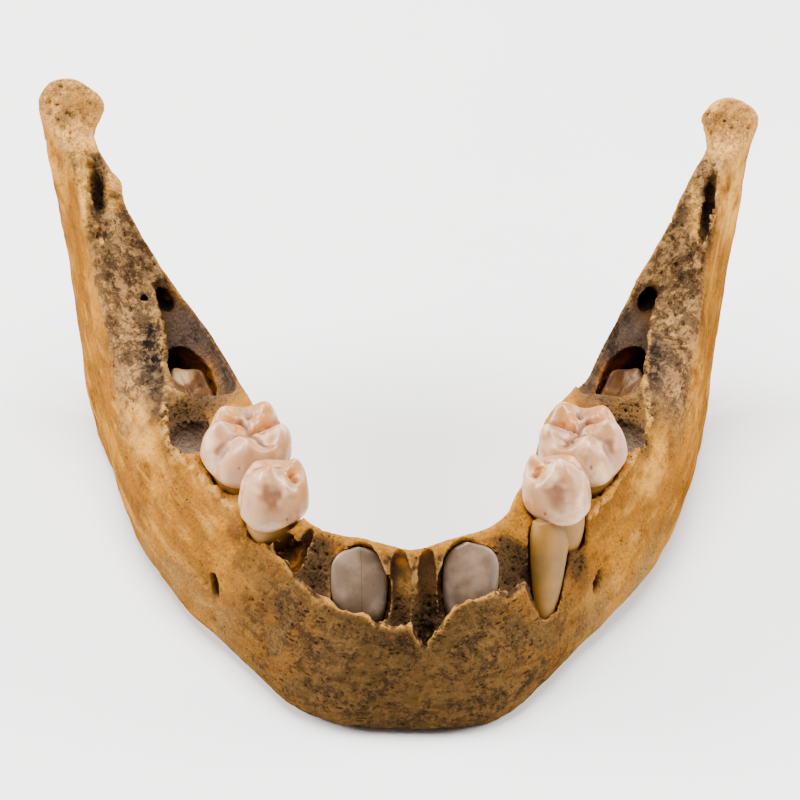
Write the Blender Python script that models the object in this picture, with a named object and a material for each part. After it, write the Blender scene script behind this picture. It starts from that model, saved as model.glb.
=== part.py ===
"""A juvenile human mandible with its milk molars, and unerupted crowns lying in their open crypts.

Units are metres. The bone stands on its lower border at Z = 0 and the chin faces -Y. The sides are the
specimen's own, so its right side is at -X.
"""

import math

import bmesh
import bpy
from mathutils import Euler, Matrix, Vector, noise

MM = 0.001

# Driving dimensions, in millimetres
LEFT_CONDYLE_DROP = 3.2   # the left condyle is worn lower than the right one
LEFT_THINNER = 0.88       # the left ramus is this much of the right one's thickness
RINGS_PER_SPAN = 3        # cross-sections made between two stations
POINTS_PER_SPAN = 2       # points made between two points of a cross-section
LUMP_SIZE = 7.0           # distance between the low lumps of the bone's surface
LUMP_HEIGHT = 0.25
GAP = 0.3                 # clearance of a tooth in its socket
TOOTH_POINTS = 16
CENTRE_AT = (-0.13, -1.96)  # the middle of the jaw's box, which is moved onto the origin

BONE_COLOUR = (0.52, 0.34, 0.16, 1)
ENAMEL_COLOUR = (0.74, 0.64, 0.58, 1)
GERM_COLOUR = (0.55, 0.42, 0.30, 1)

# Each station is a cross-section of one half of the jaw, from the chin backwards: the plan position that it
# is measured from, the direction that counts as outwards (0 is forwards, 90 sideways), how far both halves
# lie to the left there, then twelve points as (outwards, height): base, outer side, outer ridge, top, inner
# rim and inner side.
STATIONS = (
    ((0.0, -30.5), 0, 0.9, (
        (0.5, -0.2), (4.4, -0.1), (5.7, 3.0), (4.9, 7.5), (2.9, 12.0), (1.6, 17.5),
        (0.4, 20.0), (-1.8, 21.0), (-3.6, 20.8), (-4.6, 16.0), (-5.3, 9.0), (-4.0, 2.2))),
    ((6.2, -29.4), 12, 0.8, (
        (0.5, -0.3), (4.8, -0.2), (6.4, 3.0), (5.2, 8.0), (2.9, 13.0), (1.6, 17.3),
        (0.4, 19.6), (-3.2, 20.8), (-4.8, 20.4), (-5.6, 16.0), (-6.0, 9.0), (-4.4, 2.2))),
    ((10.4, -27.2), 35, 0.6, (
        (0.3, 0.0), (4.4, 0.4), (5.7, 3.2), (5.1, 8.0), (3.2, 12.5), (1.7, 16.5),
        (0.4, 19.0), (-2.8, 20.6), (-4.2, 20.2), (-5.0, 15.5), (-5.6, 8.5), (-4.0, 2.2))),
    ((14.3, -23.2), 55, 0.4, (
        (0.6, 0.2), (4.2, 0.8), (5.4, 3.5), (5.3, 8.0), (3.8, 12.0), (2.2, 15.5),
        (1.0, 17.5), (-2.6, 20.0), (-3.8, 19.6), (-4.6, 15.0), (-5.0, 8.0), (-3.4, 2.2))),
    ((16.3, -19.3), 60, 0.4, (
        (0.8, 0.3), (5.1, 1.0), (6.3, 3.8), (6.1, 8.0), (4.7, 12.5), (3.0, 16.0),
        (1.9, 17.2), (-3.2, 19.4), (-4.2, 19.2), (-4.8, 14.5), (-4.6, 8.0), (-2.8, 2.4))),
    ((19.3, -12.9), 66, 0.4, (
        (1.8, 0.5), (6.6, 1.2), (8.1, 4.0), (7.8, 9.0), (6.4, 13.5), (4.8, 16.8),
        (3.9, 17.9), (-4.2, 19.4), (-5.0, 19.0), (-5.4, 14.5), (-4.4, 8.0), (-1.8, 2.6))),
    ((21.6, -5.2), 72, 0.4, (
        (3.8, 0.8), (8.6, 1.4), (9.9, 4.5), (9.7, 9.5), (8.4, 14.0), (6.6, 17.9),
        (5.2, 19.0), (-3.8, 20.0), (-4.9, 19.6), (-5.2, 14.5), (-3.4, 8.0), (0.4, 2.8))),
    ((23.6, 2.0), 80, 0.4, (
        (4.2, 0.2), (8.8, 0.9), (10.3, 4.5), (10.4, 9.5), (9.8, 14.0), (7.6, 18.4),
        (4.6, 19.6), (-2.4, 20.8), (-4.0, 20.4), (-4.8, 15.0), (-3.0, 9.0), (1.2, 2.8))),
    ((26.0, 8.5), 90, 0.3, (
        (5.0, 0.2), (8.6, 0.5), (9.6, 4.5), (9.7, 10.0), (9.2, 15.5), (7.6, 20.4),
        (4.4, 20.6), (-1.4, 21.8), (-3.3, 21.8), (-4.2, 15.5), (-2.4, 9.0), (2.4, 2.0))),
    ((30.0, 14.0), 90, -0.1, (
        (4.2, -0.4), (6.0, -0.2), (7.0, 5.0), (6.9, 11.0), (6.4, 18.0), (5.2, 24.8),
        (1.8, 22.8), (-1.6, 23.0), (-3.7, 23.9), (-3.4, 17.0), (-0.6, 9.5), (2.6, 2.0))),
    ((33.5, 19.0), 90, -0.2, (
        (2.8, 2.4), (3.6, 3.2), (4.3, 8.0), (4.6, 15.0), (4.1, 23.5), (3.0, 30.6),
        (0.9, 28.6), (-1.6, 27.6), (-3.2, 27.8), (-2.8, 20.0), (-0.8, 11.5), (1.2, 4.4))),
    ((36.5, 23.5), 90, -0.2, (
        (1.0, 8.6), (1.6, 9.4), (2.2, 13.0), (2.7, 20.0), (2.6, 28.0), (1.6, 34.4),
        (0.2, 34.0), (-1.4, 33.0), (-3.1, 32.2), (-2.8, 26.0), (-1.8, 17.0), (-0.2, 10.2))),
    ((38.2, 27.0), 90, -0.2, (
        (0.4, 17.2), (1.0, 18.0), (1.8, 21.5), (2.5, 27.0), (2.7, 33.0), (2.5, 36.4),
        (1.0, 37.4), (-1.2, 37.4), (-2.4, 36.4), (-2.1, 33.0), (-1.8, 26.5), (-0.8, 19.2))),
    ((38.4, 30.0), 90, -0.2, (
        (0.6, 26.8), (1.2, 27.6), (2.2, 30.5), (3.4, 35.5), (3.9, 39.0), (3.2, 41.2),
        (0.9, 42.8), (-1.6, 42.3), (-3.6, 40.8), (-3.5, 38.5), (-2.0, 34.0), (-0.8, 28.6))),
    ((38.4, 32.2), 90, -0.2, (
        (0.4, 34.2), (1.0, 34.8), (2.0, 36.4), (2.7, 38.0), (2.9, 39.2), (2.3, 40.5),
        (1.0, 41.3), (-1.0, 41.0), (-2.3, 40.1), (-2.6, 38.8), (-1.8, 37.0), (-0.4, 35.2))),
)

# The broken edge of the front plate, from right to left, as (x, height, depth): above it the bone is gone as
# far as a slope that runs back by the depth on its way to the rim
BREAK_EDGE = (
    (-18.6, 21.0, 2.0), (-17.4, 16.6, 2.0), (-15.6, 16.8, 2.2), (-14.2, 15.9, 3.0), (-12.4, 16.4, 5.0),
    (-10.2, 15.8, 6.0), (-7.9, 16.2, 5.8), (-5.4, 15.1, 5.2), (-3.4, 15.3, 4.8), (-2.3, 13.7, 4.6),
    (-0.6, 14.9, 4.3), (0.6, 14.0, 4.2), (1.3, 14.7, 4.2), (2.7, 10.7, 4.3), (3.6, 13.4, 4.5),
    (5.1, 14.3, 4.9), (7.0, 16.5, 5.4), (9.0, 16.3, 5.8), (11.3, 15.8, 6.0), (13.0, 14.2, 5.4),
    (14.4, 13.7, 3.4), (15.6, 10.8, 2.4), (16.8, 10.0, 2.0), (17.8, 11.8, 1.6), (18.6, 14.6, 1.4),
    (19.4, 21.0, 1.2),
)
PLATE_MIDDLE = (0.7, -32.7)  # the front plate's foremost point
PLATE_CURVE = 0.034          # how fast it curves back on either side of that
PLATE_THICKNESS = 0.9
RIM_HEIGHT = 21.5

# Pits of the bone: centre, half sizes, and how far each is turned about X, Y and Z
PITS = {
    "right_incisor_crypt": ((-4.6, -28.5, 15.6), (3.9, 2.6, 6.6), (-24, 0, 0)),
    "left_incisor_crypt": ((7.8, -27.7, 15.8), (3.9, 2.6, 6.6), (-26, 0, 10)),
    "right_middle_socket": ((0.1, -29.5, 16.4), (1.35, 1.7, 5.8), (-22, 0, 0)),
    "left_middle_socket": ((3.3, -29.4, 16.4), (1.2, 1.7, 5.8), (-22, 0, 0)),
    "right_canine_socket": ((-10.0, -24.9, 17.0), (1.5, 2.0, 6.0), (-24, 0, -30)),
    "left_canine_socket": ((12.7, -24.4, 17.0), (1.7, 2.0, 6.0), (-24, 0, 30)),
    "right_molar_crypt": ((-25.6, 4.8, 15.6), (3.5, 5.6, 6.2), (12, 0, 24)),
    "left_molar_crypt": ((26.7, 4.8, 15.6), (3.2, 5.6, 6.2), (12, 0, -24)),
    "right_crypt_mouth": ((-24.6, 3.0, 20.6), (2.6, 4.4, 2.4), (12, 0, 22)),
    "left_crypt_mouth": ((25.7, 3.0, 20.6), (2.4, 4.4, 2.4), (12, 0, -22)),
    "right_crypt_gutter": ((-27.2, 10.0, 22.6), (1.8, 4.4, 2.2), (32, 0, 24)),
    "left_crypt_gutter": ((28.3, 10.0, 22.6), (1.7, 4.4, 2.2), (32, 0, -24)),
    "right_nerve_opening": ((-28.0, 13.2, 22.8), (0.7, 1.8, 0.9), (30, 0, 20)),
    "left_nerve_opening": ((29.2, 13.2, 22.8), (0.7, 1.8, 0.9), (30, 0, -20)),
    "right_back_hollow": ((-24.4, -6.3, 17.4), (2.0, 1.9, 4.6), (0, 0, 15)),
    "left_back_hollow": ((25.4, -6.0, 17.4), (1.8, 1.9, 4.6), (0, 0, -15)),
    "right_coronoid_break": ((-36.2, 21.6, 33.2), (1.3, 5.4, 2.6), (45, 0, 12)),
    "left_coronoid_break": ((36.4, 21.6, 33.0), (1.0, 5.4, 2.6), (45, 0, -12)),
    "right_mental_foramen": ((-21.6, -20.3, 8.3), (0.8, 2.4, 1.9), (-30, 0, -56)),
    "left_mental_foramen": ((22.7, -20.3, 8.3), (0.8, 2.4, 1.9), (-30, 0, 56)),
}

# A tooth's outline rings from the root upwards: height, share of the half length, share of the half width,
# and how much of the cusps' relief shows there. The last one closes on the middle of the chewing surface.
ROOTED_MOLAR = (
    (-4.6, 0.40, 0.44, 0.0), (-2.4, 0.66, 0.64, 0.0), (-0.5, 0.80, 0.77, 0.0), (0.8, 0.93, 0.92, 0.05),
    (2.2, 1.00, 1.00, 0.2), (3.8, 0.97, 0.93, 0.5), (4.8, 0.84, 0.78, 0.9), (5.1, 0.66, 0.60, 1.0),
    (4.5, 0.42, 0.36, 0.4), (4.0, 0.14, 0.12, 0.0),
)
MOLAR_GERM = (
    (0.0, 0.60, 0.60, 0.0), (1.0, 0.90, 0.90, 0.1), (2.4, 1.00, 1.00, 0.3), (3.8, 0.92, 0.90, 0.7),
    (4.6, 0.72, 0.68, 1.0), (4.2, 0.42, 0.38, 0.4), (3.7, 0.14, 0.12, 0.0),
)
INCISOR_GERM = (
    (0.0, 0.76, 0.75, 0.0), (1.6, 0.90, 1.00, 0.0), (4.0, 1.00, 0.94, 0.0), (6.4, 1.00, 0.66, 0.0),
    (7.9, 0.93, 0.40, 0.0), (8.6, 0.66, 0.27, 0.0), (8.9, 0.24, 0.15, 0.0),
)
MILK_ROOT = (
    (-10.2, 0.10, 0.18, 0.0), (-9.6, 0.34, 0.50, 0.0), (-6.5, 0.62, 0.78, 0.0), (-3.0, 0.86, 0.95, 0.0),
    (0.0, 1.00, 1.00, 0.0), (2.0, 0.90, 0.90, 0.0),
)
FIVE_CUSPS = (52, 98, 150, 232, 312)   # angles round the crown from its front end, the outer side first
FOUR_CUSPS = (58, 128, 228, 310)
CUSP_HEIGHT = 1.2
CUSP_WIDTH = 24

# Each tooth: outline rings, cusps, its middle at the neck, half length and width, outward direction, and the
# shift of its top in X and Y for each millimetre of height
TEETH = {
    "right_second_milk_molar": (ROOTED_MOLAR, FIVE_CUSPS, (-17.7, -11.0, 18.7), (5.0, 4.8), -66, (0.05, 0.08)),
    "right_first_milk_molar": (ROOTED_MOLAR, FOUR_CUSPS, (-14.1, -19.4, 18.4), (3.7, 4.1), -64, (0.0, 0.05)),
    "left_second_milk_molar": (ROOTED_MOLAR, FIVE_CUSPS, (21.2, -10.9, 18.6), (4.5, 4.4), 68, (-0.05, 0.08)),
    "left_first_milk_molar": (ROOTED_MOLAR, FOUR_CUSPS, (18.1, -18.6, 18.4), (3.5, 3.6), 66, (-0.05, 0.08)),
    "right_incisor_crown": (INCISOR_GERM, (), (-4.5, -29.4, 12.2), (3.2, 1.7), 0, (-0.02, 0.44)),
    "left_incisor_crown": (INCISOR_GERM, (), (7.8, -28.6, 12.8), (3.2, 1.7), 8, (0.04, 0.48)),
    "right_first_molar_crown": (MOLAR_GERM, FIVE_CUSPS, (-25.7, 5.4, 11.2), (4.2, 2.8), -68, (0.0, -0.10)),
    "left_first_molar_crown": (MOLAR_GERM, FIVE_CUSPS, (26.9, 5.4, 11.2), (4.2, 2.5), 68, (0.0, -0.10)),
}
# The left first milk molar's bared front root, placed in the same way
LONG_ROOT = ((17.1, -21.3, 17.0), (2.6, 1.5), 45, (0.06, 0.62))


def smooth_through(points, steps, closed=False):
    """Catmull-Rom: the points themselves, with steps - 1 new ones between each two."""
    count = len(points)
    made = []
    for i in range(count if closed else count - 1):
        near = (i - 1, i, i + 1, i + 2)
        a, b, c, d = (points[j % count] if closed else points[min(max(j, 0), count - 1)] for j in near)
        for step in range(steps):
            t = step / steps
            bend = (2 * a - 5 * b + 4 * c - d) * t**2 + (3 * b - a - 3 * c + d) * t**3
            made.append(0.5 * (2 * b + (c - a) * t + bend))
    if not closed:
        made.append(points[-1])
    return made


def direction(turn):
    return Vector((math.sin(math.radians(turn)), -math.cos(math.radians(turn)), 0))


def ring_of(station, side):
    (x, y), turn, lean, outline = station
    outermost = max(out for out, height in outline)
    thinner = LEFT_THINNER if side > 0 and y > 0 else 1
    ring = []
    for out, height in outline:
        point = Vector((x, y, height)) + (outermost - (outermost - out) * thinner) * direction(turn)
        if side > 0:
            point.z -= LEFT_CONDYLE_DROP * min(max((height - 30) / 9, 0), 1) * min(max((y - 22) / 5, 0), 1)
        ring.append(Vector((side * point.x + lean, point.y, point.z)))
    return ring


def bone_rings():
    right = [ring_of(station, -1) for station in reversed(STATIONS)]
    left = [ring_of(station, 1) for station in STATIONS[1:]]
    columns = zip(*(right + left))
    dense = [smooth_through(list(column), RINGS_PER_SPAN) for column in columns]
    return [smooth_through(list(ring), POINTS_PER_SPAN, closed=True) for ring in zip(*dense)]


def new_object(name, mesh):
    bmesh.ops.recalc_face_normals(mesh, faces=mesh.faces)
    bmesh.ops.scale(mesh, vec=(MM, MM, MM), verts=mesh.verts)
    data = bpy.data.meshes.new(name)
    mesh.to_mesh(data)
    mesh.free()
    data.shade_smooth()
    made = bpy.data.objects.new(name, data)
    made.parent = jaw
    bpy.context.scene.collection.objects.link(made)
    return made


def skinned(rings):
    """A closed mesh through rings of equal count, each end closed by one face."""
    mesh = bmesh.new()
    loops = [[mesh.verts.new(point) for point in ring] for ring in rings]
    for near, far in zip(loops, loops[1:]):
        for i in range(len(near)):
            j = (i + 1) % len(near)
            mesh.faces.new((near[i], near[j], far[j], far[i]))
    mesh.faces.new(reversed(loops[0]))
    mesh.faces.new(loops[-1])
    return mesh


def bone_body():
    mesh = skinned(bone_rings())
    bmesh.ops.recalc_face_normals(mesh, faces=mesh.faces)
    mesh.normal_update()
    for vert in mesh.verts:
        vert.co += vert.normal * LUMP_HEIGHT * noise.fractal(vert.co / LUMP_SIZE, 1.0, 2.0, 3)
    everything = mesh.verts[:] + mesh.edges[:] + mesh.faces[:]
    bmesh.ops.bisect_plane(mesh, geom=everything, plane_co=(0, 0, 0), plane_no=(0, 0, -1), clear_outer=True)
    open_edges = [edge for edge in mesh.edges if edge.is_boundary]
    bmesh.ops.holes_fill(mesh, edges=open_edges, sides=0)
    return new_object("mandible", mesh)


def tooth_mesh(outline, cusps, middle, halves, turn, slant, clearance=0):
    """The closed form of one tooth; clearance makes it that much larger all round, with the same axes."""
    upwards = Vector((*slant, 1)).normalized()
    outwards = (direction(turn) - direction(turn).dot(upwards) * upwards).normalized()
    forwards = outwards.cross(upwards) * (1 if turn >= 0 else -1)
    rings = []
    for height, length_share, width_share, relief in outline:
        ring = []
        for i in range(TOOTH_POINTS):
            angle = 2 * math.pi * i / TOOTH_POINTS
            c, s = math.cos(angle), math.sin(angle)
            squared = (abs(c) ** 2.6 + abs(s) ** 2.6) ** (-1 / 2.6)
            turns = [abs((math.degrees(angle) - cusp + 180) % 360 - 180) for cusp in cusps]
            swell = max([math.exp(-((turned / CUSP_WIDTH) ** 2)) for turned in turns], default=0)
            reach = squared * (1 - 0.10 * relief * (1 - swell))
            along = (halves[0] * length_share * reach + clearance) * c
            across = (halves[1] * width_share * reach + clearance) * s
            up = height + relief * CUSP_HEIGHT * swell
            ring.append(Vector(middle) + forwards * along + outwards * across + upwards * up)
        rings.append(ring)
    if clearance:
        rings[0] = [point - Vector((0, 0, clearance)) for point in rings[0]]
    return skinned(rings)


def cut(target, cutter):
    cutter.hide_render = True
    cutter.display_type = "WIRE"
    boolean = target.modifiers.new(cutter.name, "BOOLEAN")
    boolean.object = cutter
    boolean.solver = "EXACT"


def joined(target, addition):
    cut(target, addition)
    target.modifiers[-1].operation = "UNION"


def pit(name, centre, halves, turned):
    mesh = bmesh.new()
    shape = Matrix.Translation(centre) @ Euler([math.radians(turn) for turn in turned]).to_matrix().to_4x4()
    shape = shape @ Matrix.Diagonal((*halves, 1))
    bmesh.ops.create_icosphere(mesh, subdivisions=2 if max(halves) > 5 else 1, radius=1, matrix=shape)
    return new_object(name, mesh)


def front_break():
    """The space where the front plate is gone, from before the bone to the slope behind the broken edge."""
    rings = []
    for x, height, depth in BREAK_EDGE:
        edge = PLATE_MIDDLE[1] + PLATE_CURVE * (x - PLATE_MIDDLE[0]) ** 2 + PLATE_THICKNESS
        outline = ((-45, height), (edge, height), (edge + depth, RIM_HEIGHT), (edge + depth, 26), (-45, 26))
        rings.append([Vector((x, *corner)) for corner in outline])
    return new_object("front_break", skinned(rings))


def finish(target, colour, roughness):
    material = bpy.data.materials.new(target.name)
    material.use_nodes = True
    shader = material.node_tree.nodes["Principled BSDF"]
    shader.inputs["Base Color"].default_value = colour
    shader.inputs["Roughness"].default_value = roughness
    shader.inputs["Metallic"].default_value = 0
    target.data.materials.append(material)


for old in list(bpy.data.objects):
    bpy.data.objects.remove(old)
jaw = bpy.data.objects.new("jaw", None)
jaw.location = (-CENTRE_AT[0] * MM, -CENTRE_AT[1] * MM, 0)
bpy.context.scene.collection.objects.link(jaw)

bone = bone_body()
finish(bone, BONE_COLOUR, 0.6)
cut(bone, front_break())
for name, measures in PITS.items():
    cut(bone, pit(name, *measures))
for name, (outline, cusps, *place) in TEETH.items():
    tooth = new_object(name, tooth_mesh(outline, cusps, *place))
    milk = name.endswith("milk_molar")
    finish(tooth, ENAMEL_COLOUR if milk or "incisor" in name else GERM_COLOUR, 0.25)
    cut(bone, new_object(name + "_socket", tooth_mesh(outline, cusps, *place, GAP)))
    if name == "left_first_milk_molar":
        joined(tooth, new_object(name + "_root", tooth_mesh(MILK_ROOT, (), *LONG_ROOT)))
        cut(bone, new_object(name + "_root_socket", tooth_mesh(MILK_ROOT, (), *LONG_ROOT, GAP)))
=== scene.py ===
import math
from types import SimpleNamespace

import bmesh
import bpy
import numpy as np
from mathutils import Euler, Matrix, Vector, noise
from mathutils.bvhtree import BVHTree


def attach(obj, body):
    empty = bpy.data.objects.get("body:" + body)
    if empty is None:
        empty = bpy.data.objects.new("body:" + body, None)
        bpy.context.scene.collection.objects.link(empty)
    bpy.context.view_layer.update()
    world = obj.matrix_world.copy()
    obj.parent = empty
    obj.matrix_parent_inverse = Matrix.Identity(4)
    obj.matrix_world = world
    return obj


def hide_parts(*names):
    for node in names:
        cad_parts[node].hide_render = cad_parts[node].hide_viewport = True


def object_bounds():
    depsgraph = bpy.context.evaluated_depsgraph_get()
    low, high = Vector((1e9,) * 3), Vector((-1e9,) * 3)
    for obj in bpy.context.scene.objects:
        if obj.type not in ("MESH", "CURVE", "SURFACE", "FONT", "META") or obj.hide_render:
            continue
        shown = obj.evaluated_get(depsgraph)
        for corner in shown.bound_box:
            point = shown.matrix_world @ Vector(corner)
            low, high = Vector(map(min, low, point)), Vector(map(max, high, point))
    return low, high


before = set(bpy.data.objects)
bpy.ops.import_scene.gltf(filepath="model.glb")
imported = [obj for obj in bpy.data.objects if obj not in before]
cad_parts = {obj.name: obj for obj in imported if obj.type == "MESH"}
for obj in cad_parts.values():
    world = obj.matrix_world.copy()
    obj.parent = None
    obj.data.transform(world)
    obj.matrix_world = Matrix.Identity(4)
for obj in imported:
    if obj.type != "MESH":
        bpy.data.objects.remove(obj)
cad_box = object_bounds()

MM = 0.001
CENTRE_AT = Vector((-0.13, -1.96, 0))  # the middle of the jaw's box before it is moved onto the origin, in mm
TO_FRAME = Matrix.Scale(MM, 4) @ Matrix.Translation(-CENTRE_AT)

# The camera looks down at the jaw from in front of the chin; lengths in mm
CAMERA_ELEVATION = 43
CAMERA_DISTANCE = 650
CAMERA_AIM = Vector((0, 0, 18.6))
CAMERA_LENS = 251.6
SENSOR_WIDTH = 36


def linear(colour):
    """An sRGB hex colour as linear red, green, blue and alpha."""
    shares = [int(colour[i:i + 2], 16) / 255 for i in (1, 3, 5)]
    return [c / 12.92 if c <= 0.04045 else ((c + 0.055) / 1.055) ** 2.4 for c in shares] + [1]


def add(tree, kind, inputs={}, **settings):
    """A shader node with its settings; an input takes a value or the socket that feeds it."""
    made = tree.nodes.new("ShaderNode" + kind)
    for name, value in settings.items():
        setattr(made, name, value)
    for name, value in inputs.items():
        if isinstance(value, bpy.types.NodeSocket):
            tree.links.new(value, made.inputs[name])
        else:
            made.inputs[name].default_value = value
    return made.outputs


def placed(name, data):
    """The data as an object in the scene."""
    made = bpy.data.objects.new(name, data)
    bpy.context.scene.collection.objects.link(made)
    return made


def new_object(name, mesh):
    """The bmesh, in the jaw's own millimetres, as an object in the frame."""
    bmesh.ops.recalc_face_normals(mesh, faces=mesh.faces)
    mesh.transform(TO_FRAME)
    data = bpy.data.meshes.new(name)
    mesh.to_mesh(data)
    mesh.free()
    data.shade_smooth()
    return placed(name, data)


def modify(piece, kind, **settings):
    """Gives the piece a modifier and applies it."""
    modifier = piece.modifiers.new(kind.lower(), kind)
    for name, value in settings.items():
        setattr(modifier, name, value)
    bpy.ops.object.select_all(action="DESELECT")
    piece.select_set(True)
    bpy.context.view_layer.objects.active = piece
    bpy.ops.object.modifier_apply(modifier=modifier.name)


def combine(piece, other, operation):
    """Cuts the other form out of the piece or joins it on, and uses it up."""
    modify(piece, "BOOLEAN", object=other, operation=operation, solver="MANIFOLD")
    bpy.data.objects.remove(other)


def read(items, field, width=3, kind=float):
    """One field of all the items of a mesh, a row for each."""
    values = np.empty(len(items) * width, kind)
    items.foreach_get(field, values)
    return values.reshape(-1, width)


def points_of(data):
    """The vertices in the jaw's own millimetres."""
    return read(data.vertices, "co") / MM + CENTRE_AT


def normals_of(data):
    return read(data.vertex_normals, "vector")


def move_points(data, points):
    data.vertices.foreach_set("co", ((points - CENTRE_AT) * MM).ravel())
    data.update()


def store(data, name, values):
    """Values for each vertex, as an attribute that a material reads."""
    kind, key = ("FLOAT", "value") if values.ndim == 1 else ("FLOAT_VECTOR", "vector")
    data.attributes.new(name, kind, "POINT").data.foreach_set(key, values.ravel().astype(np.float32))


def rise(values, low, high):
    """0 below low, 1 above high and straight between them; low may be the larger."""
    return np.clip((values - low) / (high - low), 0, 1)


def ramp(values, low, high):
    """The same rise as a smooth step."""
    share = rise(values, low, high)
    return share * share * (3 - 2 * share)


def corner_values(cells, seed):
    """A number from 0 to 1 for each lattice point, the same in each run."""
    mixed = (cells @ np.array((73856093, 19349663, 83492791)) + seed * 7919) & 0x7FFFFFFF
    mixed = ((mixed ^ (mixed >> 13)) * 1274126177) & 0x7FFFFFFF
    return ((mixed ^ (mixed >> 16)) & 0xFFFF) / 65535


def swirl(points, size, seed):
    """Smooth noise from -1 to 1 whose lumps are size apart."""
    cells = np.floor(points / size).astype(np.int64)
    inside = ramp(points / size - cells, 0, 1)
    total = np.zeros(len(points))
    for corner in np.ndindex(2, 2, 2):
        weight = np.prod(np.where(corner, inside, 1 - inside), axis=1)
        total += weight * (2 * corner_values(cells + corner, seed) - 1)
    return total


def pores(points, size, seed, edge, middle):
    """Pores, one to a cell of that size: 0 beyond the edge, 1 inside the middle, both shares of the size."""
    scaled = points / size
    cells = np.floor(scaled).astype(np.int64)
    nearest = np.full(len(points), 9.0)
    for corner in np.ndindex(3, 3, 3):
        at = cells + corner - 1
        seeds = at + np.stack([corner_values(at, seed + axis) for axis in range(3)], axis=1)
        nearest = np.minimum(nearest, np.linalg.norm(seeds - scaled, axis=1))
    return ramp(nearest, edge, middle)


def blobs(points, places):
    """The strongest at each point of some soft ellipsoids, each a centre, half sizes and a strength."""
    found = np.zeros(len(points))
    for centre, halves, strength in places:
        away = np.linalg.norm((points - centre) / halves, axis=1)
        found = np.maximum(found, strength * ramp(away, 1.25, 0.45))
    return found


def evened(data, rounds):
    """The vertices of a mesh, each drawn towards its neighbours round after round."""
    points = points_of(data)
    near, far = read(data.edges, "vertices", 2, np.int32).T
    count = np.bincount(np.concatenate((near, far)), minlength=len(points)).astype(float)
    for _ in range(rounds):
        total = np.zeros_like(points)
        for axis in range(3):
            total[:, axis] += np.bincount(near, weights=points[far, axis], minlength=len(points))
            total[:, axis] += np.bincount(far, weights=points[near, axis], minlength=len(points))
        points = 0.5 * points + 0.5 * total / count[:, None]
    return points


def hollowness(data, rounds):
    """How far each vertex lies below its evened-out surroundings, in mm; it is negative on edges."""
    return np.sum((evened(data, rounds) - points_of(data)) * normals_of(data), axis=1)


def smooth_through(points, steps, closed=False):
    """Catmull-Rom: the points themselves, with steps - 1 new ones between each two."""
    points = [Vector(point) for point in points]
    count = len(points)
    made = []
    for i in range(count if closed else count - 1):
        near = (i - 1, i, i + 1, i + 2)
        a, b, c, d = (points[j % count] if closed else points[min(max(j, 0), count - 1)] for j in near)
        for step in range(steps):
            t = step / steps
            bend = (2 * a - 5 * b + 4 * c - d) * t**2 + (3 * b - a - 3 * c + d) * t**3
            made.append(0.5 * (2 * b + (c - a) * t + bend))
    if not closed:
        made.append(points[-1])
    return made


def skinned(rings):
    """A closed mesh through rings of equal count, each end closed by one face."""
    mesh = bmesh.new()
    loops = [[mesh.verts.new(Vector(point)) for point in ring] for ring in rings]
    for near, far in zip(loops, loops[1:]):
        for i in range(len(near)):
            j = (i + 1) % len(near)
            mesh.faces.new((near[i], near[j], far[j], far[i]))
    mesh.faces.new(reversed(loops[0]))
    mesh.faces.new(loops[-1])
    bmesh.ops.recalc_face_normals(mesh, faces=mesh.faces)
    return mesh


def lumps(place):
    """Rough noise of about -1 to 1 at one place."""
    return noise.fractal(place, 1.0, 2.0, 3)


def direction(turn):
    """Level, and turned by that many degrees from forwards towards the left."""
    return Vector((math.sin(math.radians(turn)), -math.cos(math.radians(turn)), 0))


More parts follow.
